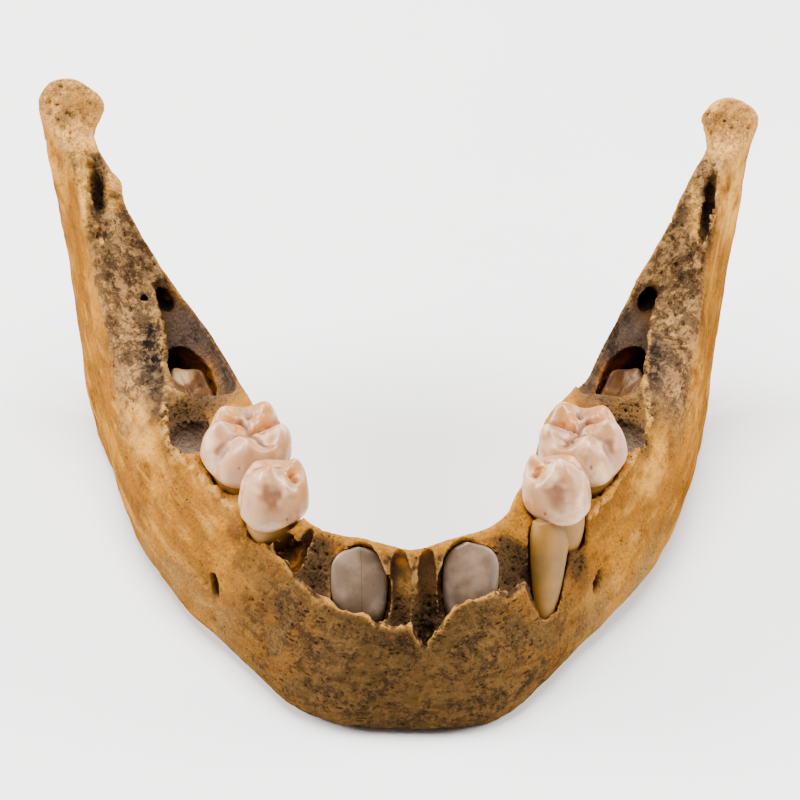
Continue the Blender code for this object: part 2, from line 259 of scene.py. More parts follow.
# The bone. Each station is a cross-section of one half of the jaw, from the chin backwards: the plan position
# that it is measured from, the direction that counts as outwards (0 is forwards, 90 sideways), how far both
# halves lie to the left there, then twelve points as (outwards, height): base, outer side, outer ridge, top,
# inner rim and inner side.
STATIONS = (
    ((0, -30.5), 0, 0.9, (
        (0.5, -0.2), (4.4, -0.1), (5.7, 3), (4.9, 7.5), (2.9, 12), (1.6, 17.5), (0.4, 20), (-1.8, 21),
        (-3.6, 20.8), (-4.6, 16), (-5.3, 9), (-4, 2.2))),
    ((6.2, -29.4), 12, 0.8, (
        (0.5, -0.3), (4.8, -0.2), (6.4, 3), (5.2, 8), (2.9, 13), (1.6, 17.3), (0.4, 19.6), (-3.2, 20.8),
        (-4.8, 20.4), (-5.6, 16), (-6, 9), (-4.4, 2.2))),
    ((10.4, -27.2), 35, 0.6, (
        (0.3, 0), (4.4, 0.4), (5.7, 3.2), (5.1, 8), (3.2, 12.5), (1.7, 16.5), (0.4, 19), (-2.8, 20.6),
        (-4.2, 20.2), (-5, 15.5), (-5.6, 8.5), (-4, 2.2))),
    ((14.3, -23.2), 55, 0.4, (
        (0.6, 0.2), (4.2, 0.8), (5.4, 3.5), (5.3, 8), (3.8, 12), (2.2, 15.5), (1, 17.5), (-2.6, 20),
        (-3.8, 19.6), (-4.6, 15), (-5, 8), (-3.4, 2.2))),
    ((16.3, -19.3), 60, 0.4, (
        (0.8, 0.3), (5.1, 1), (6.3, 3.8), (6.1, 8), (4.7, 12.5), (3, 16), (1.9, 17.2), (-3.2, 19.4),
        (-4.2, 19.2), (-4.8, 14.5), (-4.6, 8), (-2.8, 2.4))),
    ((19.3, -12.9), 66, 0.4, (
        (1.8, 0.5), (6.6, 1.2), (8.1, 4), (7.8, 9), (6.4, 13.5), (4.8, 16.8), (3.9, 17.9), (-4.2, 19.4),
        (-5, 19), (-5.4, 14.5), (-4.4, 8), (-1.8, 2.6))),
    ((21.6, -5.2), 72, 0.4, (
        (3.8, 0.8), (8.6, 1.4), (9.9, 4.5), (9.7, 9.5), (8.4, 14), (6.6, 17.9), (5.2, 19), (-3.8, 20),
        (-4.9, 19.6), (-5.2, 14.5), (-3.4, 8), (0.4, 2.8))),
    ((23.6, 2), 80, 0.4, (
        (4.2, 0.2), (8.8, 0.9), (10.3, 4.5), (10.4, 9.5), (9.8, 14), (7.6, 18.4), (4.6, 19.6),
        (-2.4, 20.8), (-4, 20.4), (-4.8, 15), (-3, 9), (1.2, 2.8))),
    ((26, 8.5), 90, 0.3, (
        (5, 0.2), (8.6, 0.5), (9.6, 4.5), (9.7, 10), (9.2, 15.5), (7.6, 20.4), (4.4, 20.6), (-1.4, 21.8),
        (-3.3, 21.8), (-4.2, 15.5), (-2.4, 9), (2.4, 2))),
    ((30, 14), 90, -0.1, (
        (4.2, -0.4), (6, -0.2), (7, 5), (6.9, 11), (6.4, 18), (5.2, 24.8), (1.8, 22.8), (-1.6, 23),
        (-3.7, 23.9), (-3.4, 17), (-0.6, 9.5), (2.6, 2))),
    ((33.5, 19), 90, -0.2, (
        (2.8, 2.4), (3.6, 3.2), (4.3, 8), (4.6, 15), (4.1, 23.5), (3, 30.6), (0.9, 28.6), (-1.6, 27.6),
        (-3.2, 27.8), (-2.8, 20), (-0.8, 11.5), (1.2, 4.4))),
    ((36.5, 23.5), 90, -0.2, (
        (1, 8.6), (1.6, 9.4), (2.2, 13), (2.7, 20), (2.6, 28), (1.6, 34.4), (0.2, 34), (-1.4, 33),
        (-3.1, 32.2), (-2.8, 26), (-1.8, 17), (-0.2, 10.2))),
    ((38.2, 27), 90, -0.2, (
        (0.4, 17.2), (1, 18), (1.8, 21.5), (2.5, 27), (2.7, 33), (2.5, 36.4), (1, 37.4), (-1.2, 37.4),
        (-2.4, 36.4), (-2.1, 33), (-1.8, 26.5), (-0.8, 19.2))),
    ((38.4, 30), 90, -0.2, (
        (0.6, 26.8), (1.2, 27.6), (2.2, 30.5), (3.4, 35.5), (3.9, 39), (3.2, 41.2), (0.9, 42.8),
        (-1.6, 42.3), (-3.6, 40.8), (-3.5, 38.5), (-2, 34), (-0.8, 28.6))),
    ((38.4, 32.2), 90, -0.2, (
        (0.4, 34.2), (1, 34.8), (2, 36.4), (2.7, 38), (2.9, 39.2), (2.3, 40.5), (1, 41.3), (-1, 41),
        (-2.3, 40.1), (-2.6, 38.8), (-1.8, 37), (-0.4, 35.2))),
)
LEFT_CONDYLE_DROP = 3.2  # the left condyle is worn lower than the right one
DROP_HEIGHTS = (30, 39)  # it sinks between these heights
DROP_DEPTHS = (22, 27)   # and between these distances backwards
LEFT_THINNER = 0.88      # the left ramus is this much of the right one's thickness
RINGS_PER_SPAN = 7
POINTS_PER_SPAN = 4
LUMP_SIZE = 7.0
LUMP_HEIGHT = 0.25
VOXEL = 0.27
MOST_TRIANGLES = 190000

# Where the outer surface stands a little proud or hollow: centre, radius and height
SWELLS = (
    ((-13, -33.5, 2), 5.5, 0.45), ((12, -33, 2), 5.5, 0.45), ((0.5, -36.4, 8.5), 7, -0.35),
    ((-20, -24.6, 6), 5, -0.35), ((20.5, -24.6, 6), 5, -0.35), ((-5.5, -33.5, 10.5), 4, 0.35),
    ((9, -32.5, 10.5), 4, 0.3), ((17.6, -26, 9), 3, 0.35), ((-16, -24.5, 13), 3, 0.3),
    ((-35.2, 28.4, 38.4), 2.6, 0.75), ((-35, 31.2, 42), 3.2, -0.75), ((-38.2, 31.4, 43), 3.4, -0.4),
    ((-37.8, 22.6, 33.6), 2.6, 0.35), ((-34, 22.2, 32.2), 2.2, 0.4), ((-37.2, 18.4, 29.6), 2.6, 0.3),
    ((38, 19.4, 30.4), 3, 0.3), ((34.8, 20, 30.4), 2.4, 0.35), ((-40.5, 30.2, 38.6), 2.6, 0.3),
    ((-38.6, 28, 37), 2.2, 0.45), ((-37, 26.4, 35.6), 1.8, 0.45), ((-37, 27.4, 38.4), 3.2, -1.05),
    ((-33.2, 22.6, 32.4), 1.8, 0.65), ((-40.8, 27.6, 34), 3, -0.35), ((40.6, 30.4, 36.4), 2.4, 0.35),
    ((39, 28.6, 34.6), 2, 0.4), ((37.6, 27.6, 35.8), 3, -0.85), ((36, 31, 39.2), 3, -0.65),
    ((33.6, 21, 31), 1.8, 0.45), ((-33.6, 8, 10), 7, -0.3), ((34, 8, 10), 7, -0.3),
    ((-21.6, -21.2, 8.6), 3, -0.6), ((23.2, -20.6, 8.6), 3, -0.6),
)

# The broken edge of the front plate, from right to left, as (x, height, depth): above it the bone is gone as
# far as a slope that runs back by the depth on its way to the rim
BREAK_EDGE = (
    (-18.6, 21, 1.2), (-17.6, 18.4, 1.4), (-16.4, 18.4, 1.6), (-15.4, 18.2, 1.6), (-14.6, 17.7, 1.8),
    (-13.2, 17.7, 2.8), (-11.8, 16.3, 5), (-10.2, 15.9, 5.8), (-9.2, 15.2, 5.8), (-7.9, 15.6, 5.6),
    (-6.6, 15.3, 5.4), (-5.4, 15.2, 5.2), (-4.2, 15.3, 4.9), (-3.4, 14.7, 4.8), (-2.6, 13.6, 4.6),
    (-1.8, 14.3, 4.4), (-0.9, 13.4, 4.3), (0, 14.2, 4.2), (0.6, 13.8, 4.2), (1.2, 14.4, 4.2),
    (1.7, 12.6, 4.2), (2.3, 11.7, 4.3), (2.8, 10.7, 4.3), (3.3, 12.2, 4.4), (3.9, 13.2, 4.6),
    (4.7, 13.5, 4.8), (5.3, 14.8, 5), (6.2, 16, 5.2), (7.4, 16.4, 5.4), (9, 16.4, 5.8), (10.6, 16.3, 6),
    (11.6, 15.2, 5.9), (12.6, 14.6, 5.4), (13.4, 15, 4.4), (14.2, 14.6, 3.4), (15, 12.2, 2.6),
    (15.9, 10.4, 2.2), (16.8, 9.9, 2), (17.6, 11.4, 1.7), (18.3, 12.8, 1.5), (18.9, 15.4, 1.3),
    (19.6, 21, 1.2),
)
BREAK_STEP = 0.2             # how far apart the broken edge's teeth are worked out
BREAK_ROUGH = 0.35
PLATE_MIDDLE = (0.7, -32.7)  # the front plate's foremost point
PLATE_CURVE = 0.034          # how fast it curves back on either side of that
PLATE_THICKNESS = 0.75
RIM_HEIGHT = 21.5
BEFORE_BONE = -45            # the cut begins this far forwards and ends this high
ABOVE_BONE = 27

# Pits of the bone: centre, half sizes, how far each is turned about X, Y and Z, and how rough its walls are
PITS = {
    "right_incisor_crypt": ((-4.5, -28.8, 15.5), (3.5, 2.3, 6.3), (-23, 0, 0), 0.08),
    "left_incisor_crypt": ((7.7, -28.2, 15.6), (3.5, 2.2, 6.3), (-25, 0, 10), 0.08),
    "right_middle_socket": ((0, -29.7, 16.6), (1.4, 1.5, 5.6), (-24, 0, 0), 0.06),
    "left_middle_socket": ((3.1, -29.6, 16.4), (1.3, 1.6, 5.8), (-24, 0, 0), 0.1),
    "notch_hollow": ((3.3, -31.6, 12), (1.5, 1.2, 2.2), (-10, 0, 0), 0.4),
    "right_canine_hollow": ((-9.6, -26.6, 13.4), (1.3, 1.3, 1.6), (-28, 0, -30), 0.4),
    "right_root_gutter": ((-11.6, -24.4, 15.6), (0.9, 1.4, 5.2), (-24, 0, -50), 0.08),
    "right_root_window": ((-12.7, -23.2, 16.9), (1.7, 1.5, 2.3), (-20, 0, -40), 0.25),
    "left_root_window": ((20.4, -19.6, 16.6), (1.2, 1.4, 2.6), (-20, 0, 40), 0.25),
    "right_molar_crypt": ((-24.8, 4.5, 15.2), (3.2, 5.8, 6.2), (10, 0, 24), 0.1),
    "left_molar_crypt": ((26.2, 4.5, 15.2), (3, 5.8, 6.2), (10, 0, -24), 0.1),
    "right_septum_recess": ((-24.7, -5.2, 21.2), (3, 4.2, 3.4), (0, 0, 20), 0.1),
    "left_septum_recess": ((26.4, -5, 21.1), (2.8, 4.1, 3.4), (0, 0, -20), 0.1),
    "right_nerve_opening": ((-27.8, 14, 21.6), (1, 1.6, 1.5), (0, 0, 30), 0.12),
    "left_nerve_opening": ((29, 14, 21.8), (1, 1.6, 1.5), (0, 0, -30), 0.12),
    "right_crest_pore": ((-30.1, 13.7, 22.2), (0.5, 0.5, 1.2), (0, 0, 0), 0.1),
    "right_back_hollow": ((-24.2, -6.2, 18), (2.7, 2.9, 3.4), (0, 0, 15), 0.06),
    "left_back_hollow": ((25.9, -6, 18), (2.5, 2.9, 3.4), (0, 0, -15), 0.06),
    "right_coronoid_break": ((-35.5, 21.5, 33.3), (1.25, 4.6, 2.3), (45, 0, 22), 0.35),
    "left_coronoid_break": ((36.1, 20, 31.7), (0.75, 5.6, 2.3), (45, 0, -14), 0.35),
    "right_mental_foramen": ((-21.2, -21, 8.9), (0.85, 1.3, 2.1), (-35, -20, -56), 0.1),
    "left_mental_foramen": ((22.8, -20.4, 8.9), (0.75, 1.3, 2.1), (-35, 20, 56), 0.1),
}
PIT_GRAIN = 1.1

# The open gutter over each molar crypt, from the nerve's opening forwards: how far back, middle, half width
# and height of its floor, given for the right side
GUTTER = (
    (15, -28.6, 0.7, 23), (13.4, -27.6, 1.3, 21.4), (11, -26.4, 1.8, 20.2), (8, -25.2, 2.4, 18.9),
    (5, -24.1, 3.1, 18), (2, -23, 3.7, 17.8), (0.4, -22.4, 3.5, 18), (-0.7, -22, 2.8, 19),
)
LEFT_GUTTER_SHIFT = 1.6
GUTTER_WALL = 3.6  # how far its side walls rise above its floor
GUTTER_TOP = 30
GUTTER_POINTS = 16


def ring_of(station, side):
    """A station's outline on the right (side -1) or the left (side 1)."""
    (x, y), turn, lean, outline = station
    outermost = max(out for out, height in outline)
    thinner = LEFT_THINNER if side > 0 and y > 0 else 1
    ring = []
    for out, height in outline:
        point = Vector((x, y, height)) + (outermost - (outermost - out) * thinner) * direction(turn)
        if side > 0:
            point.z -= LEFT_CONDYLE_DROP * rise(height, *DROP_HEIGHTS) * rise(y, *DROP_DEPTHS)
        ring.append(Vector((side * point.x + lean, point.y, point.z)))
    return ring


def whole_bone():
    """The bone before anything broke or rotted away."""
    right = [ring_of(station, -1) for station in reversed(STATIONS)]
    left = [ring_of(station, 1) for station in STATIONS[1:]]
    dense = [smooth_through(column, RINGS_PER_SPAN) for column in zip(*(right + left))]
    mesh = skinned([smooth_through(ring, POINTS_PER_SPAN, closed=True) for ring in zip(*dense)])
    mesh.normal_update()
    for vert in mesh.verts:
        vert.co += vert.normal * LUMP_HEIGHT * lumps(vert.co / LUMP_SIZE)
    for centre, radius, height in SWELLS:
        for vert in mesh.verts:
            share = (vert.co - Vector(centre)).length / radius
            if share < 1:
                vert.co += vert.normal * height * (1 - share**2) ** 2
    everything = mesh.verts[:] + mesh.edges[:] + mesh.faces[:]
    bmesh.ops.bisect_plane(mesh, geom=everything, plane_co=(0, 0, 0), plane_no=(0, 0, -1), clear_outer=True)
    bmesh.ops.holes_fill(mesh, edges=[edge for edge in mesh.edges if edge.is_boundary], sides=0)
    return new_object("mandible_bone", mesh)


def pit(name, centre, halves, turned, rough):
    """A rough-walled ellipsoid to cut a pit with."""
    mesh = bmesh.new()
    turn = Euler([math.radians(degrees) for degrees in turned]).to_matrix()
    bmesh.ops.create_icosphere(mesh, subdivisions=5, radius=1)
    for vert in mesh.verts:
        place = turn @ Vector([share * half for share, half in zip(vert.co, halves)])
        away = place.normalized()
        place += Vector(centre)
        vert.co = place + away * rough * lumps(place / PIT_GRAIN) * 1.6
    return new_object(name, mesh)


def front_break():
    """The space where the front plate is gone, from before the bone to the slope behind the broken edge."""
    rings = []
    for near, far in zip(BREAK_EDGE, BREAK_EDGE[1:]):
        steps = max(1, round((far[0] - near[0]) / BREAK_STEP))
        for step in range(steps):
            x, height, depth = (a + (b - a) * step / steps for a, b in zip(near, far))
            height += BREAK_ROUGH * lumps((x * 1.6, 3, 0))
            edge = PLATE_MIDDLE[1] + PLATE_CURVE * (x - PLATE_MIDDLE[0]) ** 2 + PLATE_THICKNESS
            # Behind the sharp edge the broken surface dips, then runs back up to the rim
            dip = 0.9 + 0.5 * noise.noise(Vector((x * 0.9, 8, 0)))
            outline = (
                (BEFORE_BONE, height), (edge, height), (edge + 0.25, height - dip),
                (edge + 1.3, height - 0.4), (edge + depth, RIM_HEIGHT),
                (edge + depth, ABOVE_BONE), (BEFORE_BONE, ABOVE_BONE))
            rings.append([(x, *corner) for corner in outline])
    return new_object("front_break", skinned(rings))


def gutter(side):
    """The space of the gutter on one side, round at the bottom and open above."""
    rings = []
    for back, middle, half, floor in smooth_through(GUTTER, 6):
        wobble = 0.5 * lumps((back * 1.3, side * 5, 0))
        ring = [Vector((side * across, back, GUTTER_TOP)) for across in (half + wobble, -half)]
        for step in range(GUTTER_POINTS + 1):
            angle = math.pi * (1 + step / GUTTER_POINTS)
            across = math.copysign(abs(math.cos(angle)) ** 0.75, math.cos(angle))
            width = half + (wobble if across > 0 else 0)
            height = floor + GUTTER_WALL * (1 - abs(math.sin(angle)) ** 0.7)
            height += 0.12 * lumps((across * 2, back * 0.8, side))
            ring.append(Vector((side * across * width, back, height)))
        shift = Vector((-side * middle + (LEFT_GUTTER_SHIFT if side > 0 else 0), 0, 0))
        rings.append([point + shift for point in ring])
    return new_object("gutter", skinned(rings))


# The teeth. Places on a crown are shares of its half length forwards and of its half width outwards, and a
# height above the neck in mm. The rim runs round the chewing surface over the cusps' tips, the ridges run
# down from the tips into its hollow, and a valley has a depth in the place of a height.
SECOND_MILK_RIM = (
    (-0.82, 0.12, 5.8), (-0.58, 0.36, 5), (-0.3, 0.46, 6.2), (0.08, 0.34, 5.4), (0.5, 0.36, 6.4),
    (0.8, 0.08, 5.3), (0.8, -0.3, 5.1), (0.56, -0.6, 6.7), (0.14, -0.76, 5.3), (-0.26, -0.7, 6.9),
    (-0.7, -0.4, 4.9),
)
SECOND_MILK_RIDGES = (
    ((-0.3, 0.46, 6.1), (-0.22, 0.1, 4.9)), ((0.5, 0.36, 6.3), (0.34, 0.04, 5.1)),
    ((0.56, -0.6, 6.6), (0.3, -0.3, 5.4), (0.16, -0.16, 4.9)), ((-0.26, -0.7, 6.8), (-0.14, -0.36, 5.4)),
    ((-0.3, -0.68, 6.4), (-0.44, -0.3, 4.9)), ((-0.82, 0.12, 5.4), (-0.56, -0.04, 4.8)),
)
SECOND_MILK_VALLEYS = (
    ((0.62, -0.1, 0.25), (0.34, -0.08, 0.5), (0.1, -0.02, 0.35), (-0.14, -0.14, 0.4), (-0.42, -0.1, 0.6)),
    ((0.02, -0.1, 0.4), (0.06, -0.42, 0.7), (0.12, -0.72, 0.5), (0.14, -0.96, 0.3)),
    ((0.06, 0.04, 0.35), (0.1, 0.34, 0.3), (0.1, 0.6, 0.2)),
    ((-0.42, -0.06, 0.5), (-0.54, 0.26, 0.35), (-0.66, 0.56, 0.2)),
    ((-0.4, -0.34, 0.7), (-0.52, -0.4, 0.2)),
)
FIRST_MILK_RIM = (
    (-0.5, 0.56, 5), (-0.24, 0.36, 6), (0.06, 0.14, 7.7), (0.34, -0.06, 6.4), (0.58, -0.3, 5.1),
    (0.6, -0.58, 5.3), (0.3, -0.8, 6), (0.02, -0.8, 6.7), (-0.4, -0.68, 5.3), (-0.82, -0.34, 5.1),
    (-0.88, 0.1, 5.3), (-0.7, 0.42, 4.8),
)
FIRST_MILK_RIDGES = (
    ((0.06, 0.14, 7.5), (0, -0.36, 5.8), (0.02, -0.8, 6.6)), ((0.06, 0.14, 7.5), (-0.34, -0.06, 5.3)),
)
FIRST_MILK_VALLEYS = (
    ((0.44, -0.52, 0.5), (0.26, -0.44, 0.6)), ((-0.3, -0.5, 0.3), (-0.46, -0.18, 0.6), (-0.6, 0.14, 0.4)),
    ((-0.62, 0.24, 0.25), (-0.66, 0.62, 0.15)),
)
PERMANENT_RIM = tuple((ahead, out, 0.6 * height + 1.1) for ahead, out, height in SECOND_MILK_RIM)
PERMANENT_VALLEYS = (((0.6, -0.1, 0.2), (0, -0.1, 0.3), (-0.5, -0.1, 0.2)),)
# Grooves that run down the sides: angle round the crown from its front, depth as a share of the radius there,
# and how many degrees wide
SECOND_MILK_GROOVES = (
    (84, 0.13, 17), (140, 0.08, 13), (205, 0.05, 13), (266, 0.1, 13), (44, 0.04, 12), (-6, 0.04, 13),
)
FIRST_MILK_GROOVES = ((122, 0.08, 13), (252, 0.08, 13), (-30, 0.06, 13))
PERMANENT_GROOVES = ((98, 0.05, 16), (268, 0.06, 16))
# Dimples of the outer side: angle round the crown from its front, height, radius, depth and how stained
SECOND_MILK_DIMPLES = ((82, 4, 1.5, 0.25, 0.7), (74, 4.3, 0.35, 0.15, 1), (40, 3.4, 0.2, 0.1, 1))
FIRST_MILK_DIMPLES = ((32, 5, 1.9, 0.2, 0.62), (28, 5.2, 0.8, 0.1, 0.8), (8, 2, 0.22, 0.12, 1))
# Where the crown is worn through to an amber tint: share forwards, share outwards, radius in shares
SECOND_MILK_WORN = (
    (-0.72, 0.12, 0.32), (-0.02, -0.44, 0.34), (-0.24, -0.6, 0.26), (0.62, -0.34, 0.12),
    (-0.3, 0.05, 0.2),
)
FIRST_MILK_WORN = ((0.34, -0.5, 0.4), (0.04, 0.08, 0.13), (-0.56, -0.12, 0.3), (-0.8, 0.2, 0.16))

# The crowns' kinds: rim, the middle of the hollow inside it, its floor, ridges and valleys, then grooves,
# dimples and worn places
KINDS = {
    "second_milk": (
        (SECOND_MILK_RIM, (-0.02, -0.12), 4.3, SECOND_MILK_RIDGES, SECOND_MILK_VALLEYS),
        SECOND_MILK_GROOVES, SECOND_MILK_DIMPLES, SECOND_MILK_WORN),
    "first_milk": (
        (FIRST_MILK_RIM, (-0.08, -0.28), 4.9, FIRST_MILK_RIDGES, FIRST_MILK_VALLEYS),
        FIRST_MILK_GROOVES, FIRST_MILK_DIMPLES, FIRST_MILK_WORN),
    "permanent": ((PERMANENT_RIM, (-0.02, -0.12), 3.7, (), PERMANENT_VALLEYS), PERMANENT_GROOVES, (), ()),
}
# Each molar: its outward direction, kind, middle at the neck, half length and width, the shift of its top in
# X and Y for each millimetre of height, and the height of its widest part
MOLARS = {
    "right_second_milk_molar": (-58, "second_milk", (-17.8, -11.0, 18.7), (5.1, 4.9), (0.05, 0.08), 2.0),
    "right_first_milk_molar": (-56, "first_milk", (-14.4, -19.2, 19.0), (3.8, 3.9), (0.0, 0.05), 1.5),
    "left_second_milk_molar": (60, "second_milk", (21.1, -10.9, 18.7), (5.0, 4.8), (-0.05, 0.08), 2.0),
    "left_first_milk_molar": (58, "first_milk", (18.0, -18.4, 19.0), (3.7, 3.8), (-0.05, 0.08), 1.5),
    "right_first_molar_crown": (-66, "permanent", (-24.8, 4.8, 11.8), (4.2, 2.8), (0.0, -0.06), 2.2),
    "left_first_molar_crown": (66, "permanent", (26.2, 4.8, 11.8), (4.2, 2.6), (0.0, -0.06), 2.2),
}
MOLAR_CORNERS = 2.5  # 2 gives an oval outline, and more gives it corners
NECK_SHARE = 0.79    # the crown's size at its neck, as a share of its widest
SIDE_CURVE = 1.9     # how soon the side bulges out above the neck
RIDGE_FALL = 4.2     # how steeply a ridge falls away, in mm for a share of the crown
RIDGE_ROUND = 0.08   # how round its top is
RIDGE_BLEND = 8      # how sharply the ridges meet the hollow between them
VALLEY_WIDTH = 0.065
FISSURE_DEPTH = 0.12
ENAMEL_EDGE = 0.12   # the enamel stands this far proud of the root
ROOT_LENGTH = 5.0
ROOT_TAPER = 0.16
TOOTH_POINTS = 132
TOP_RINGS = 54
SIDE_RINGS = 12
ROOT_RINGS = 8
SOCKET_GAP = 0.25
SOCKET_WEAR = 0.7    # how much wider a socket is where its edge has crumbled
CRYPT_GAP = 0.08
ROOT_NECK = 3.0      # the bared root runs up this far into its crown

# The bared front root of the left first milk molar, and the crowns in the front crypts: height, share of the
# half length, share of the half width
MILK_ROOT = (
    (-10.2, 0.1, 0.18), (-9.6, 0.34, 0.5), (-6.5, 0.62, 0.78), (-3, 0.86, 0.95), (0, 1, 1), (2, 0.9, 0.9),
)
INCISOR_PROFILE = (
    (0, 0.76, 0.75), (1.6, 0.9, 1), (4, 1, 0.94), (6.4, 1, 0.66), (7.9, 0.93, 0.4), (8.6, 0.7, 0.27),
    (8.9, 0.3, 0.15),
)
RINGED_CORNERS = 2.4
RINGED_POINTS = 72
# Each form of that sort: outward direction, middle, half length and width, and the shift of its top
LONG_ROOT = (45, (17.0, -21.4, 17.2), (2.8, 1.6), (0.06, 0.62))
INCISORS = {
    "right_incisor_crown": (0, (-4.5, -29.5, 11.7), (3.2, 1.7), (-0.02, 0.44)),
    "left_incisor_crown": (8, (7.8, -28.9, 11.7), (3.2, 1.7), (0.04, 0.48)),
}
# Where each front crown's edge rises, as a share of its half length, and how far off its crack keeps, in mm
PEAKS = {"right_incisor_crown": (0.0, 0.0), "left_incisor_crown": (0.5, 0.06)}


def tooth_axes(turn, slant):
    """Forwards, outwards and upwards of a tooth, as rows."""
    upwards = Vector((*slant, 1)).normalized()
    outwards = (direction(turn) - direction(turn).dot(upwards) * upwards).normalized()
    forwards = outwards.cross(upwards) * (1 if turn >= 0 else -1)
    return np.array((forwards, outwards, upwards))


def outline_of(count, corners):
    """A rounded outline, as shares forwards and outwards, with the angles of its points and their sines."""
    angles = np.linspace(0, 2 * np.pi, count, endpoint=False)
    ahead, out = np.cos(angles), np.sin(angles)
    reach = (np.abs(ahead) ** corners + np.abs(out) ** corners) ** (-1 / corners)
    return reach * ahead, reach * out, angles, out


def near_line(ahead, out, line):
    """How far each place is from a line of points, and the line's third value where it is nearest."""
    best, value = np.full(ahead.shape, 9.0), np.zeros(ahead.shape)
    for (ahead0, out0, value0), (ahead1, out1, value1) in zip(line, line[1:]):
        run, across = ahead1 - ahead0, out1 - out0
        share = np.clip(((ahead - ahead0) * run + (out - out0) * across) / (run**2 + across**2), 0, 1)
        away = np.hypot(ahead - ahead0 - run * share, out - out0 - across * share)
        value = np.where(away < best, value0 + (value1 - value0) * share, value)
        best = np.minimum(best, away)
    return best, value


def around(loop, middle, angle):
    """The loop's distance from the middle, and its third value, at each angle about the middle."""
    loop = np.array(loop)
    off = loop[:, :2] - middle
    turns = np.arctan2(off[:, 1], off[:, 0])
    return [np.interp(angle, turns, values, period=2 * np.pi) for values in (np.hypot(*off.T), loop[:, 2])]


def crown_height(ahead, out, belly, edge, rim, middle, floor, ridges, valleys):
    """Height over the crown, how near each place is to the bottom of a valley, and 1 in the rim's hollow."""
    angle = np.arctan2(out - middle[1], ahead - middle[0])
    away = np.hypot(ahead - middle[0], out - middle[1])
    reach, top = around(smooth_through(rim, 6, closed=True), middle, angle)
    outline = around(edge, middle, angle)[0]
    beyond = rise(away, reach, outline)
    bulge = 2.1 - 0.3 * np.sin(angle)
    outer = belly + (top - belly) * (1 - beyond**bulge) ** (1 / bulge)
    inner = floor + (top - floor) * rise(away, 0, reach) ** 1.5
    hills = [inner]
    for line in ridges:
        far, height = near_line(ahead, out, smooth_through(line, 4))
        hills.append(height - RIDGE_FALL * (np.sqrt(far**2 + RIDGE_ROUND**2) - RIDGE_ROUND))
    if ridges:
        inner = np.log(np.sum(np.exp(RIDGE_BLEND * np.array(hills)), axis=0)) / RIDGE_BLEND
    found = np.where(away > reach, outer, inner)
    near = np.zeros(ahead.shape)
    for line in valleys:
        far, deep = near_line(ahead, out, smooth_through(line, 5))
        trough = np.exp(-((far / VALLEY_WIDTH) ** 2))
        found -= deep * trough
        near = np.maximum(near, trough * np.minimum(deep / 0.5, 1))
    return found, near, ramp(away / reach, 0.9, 0.65)


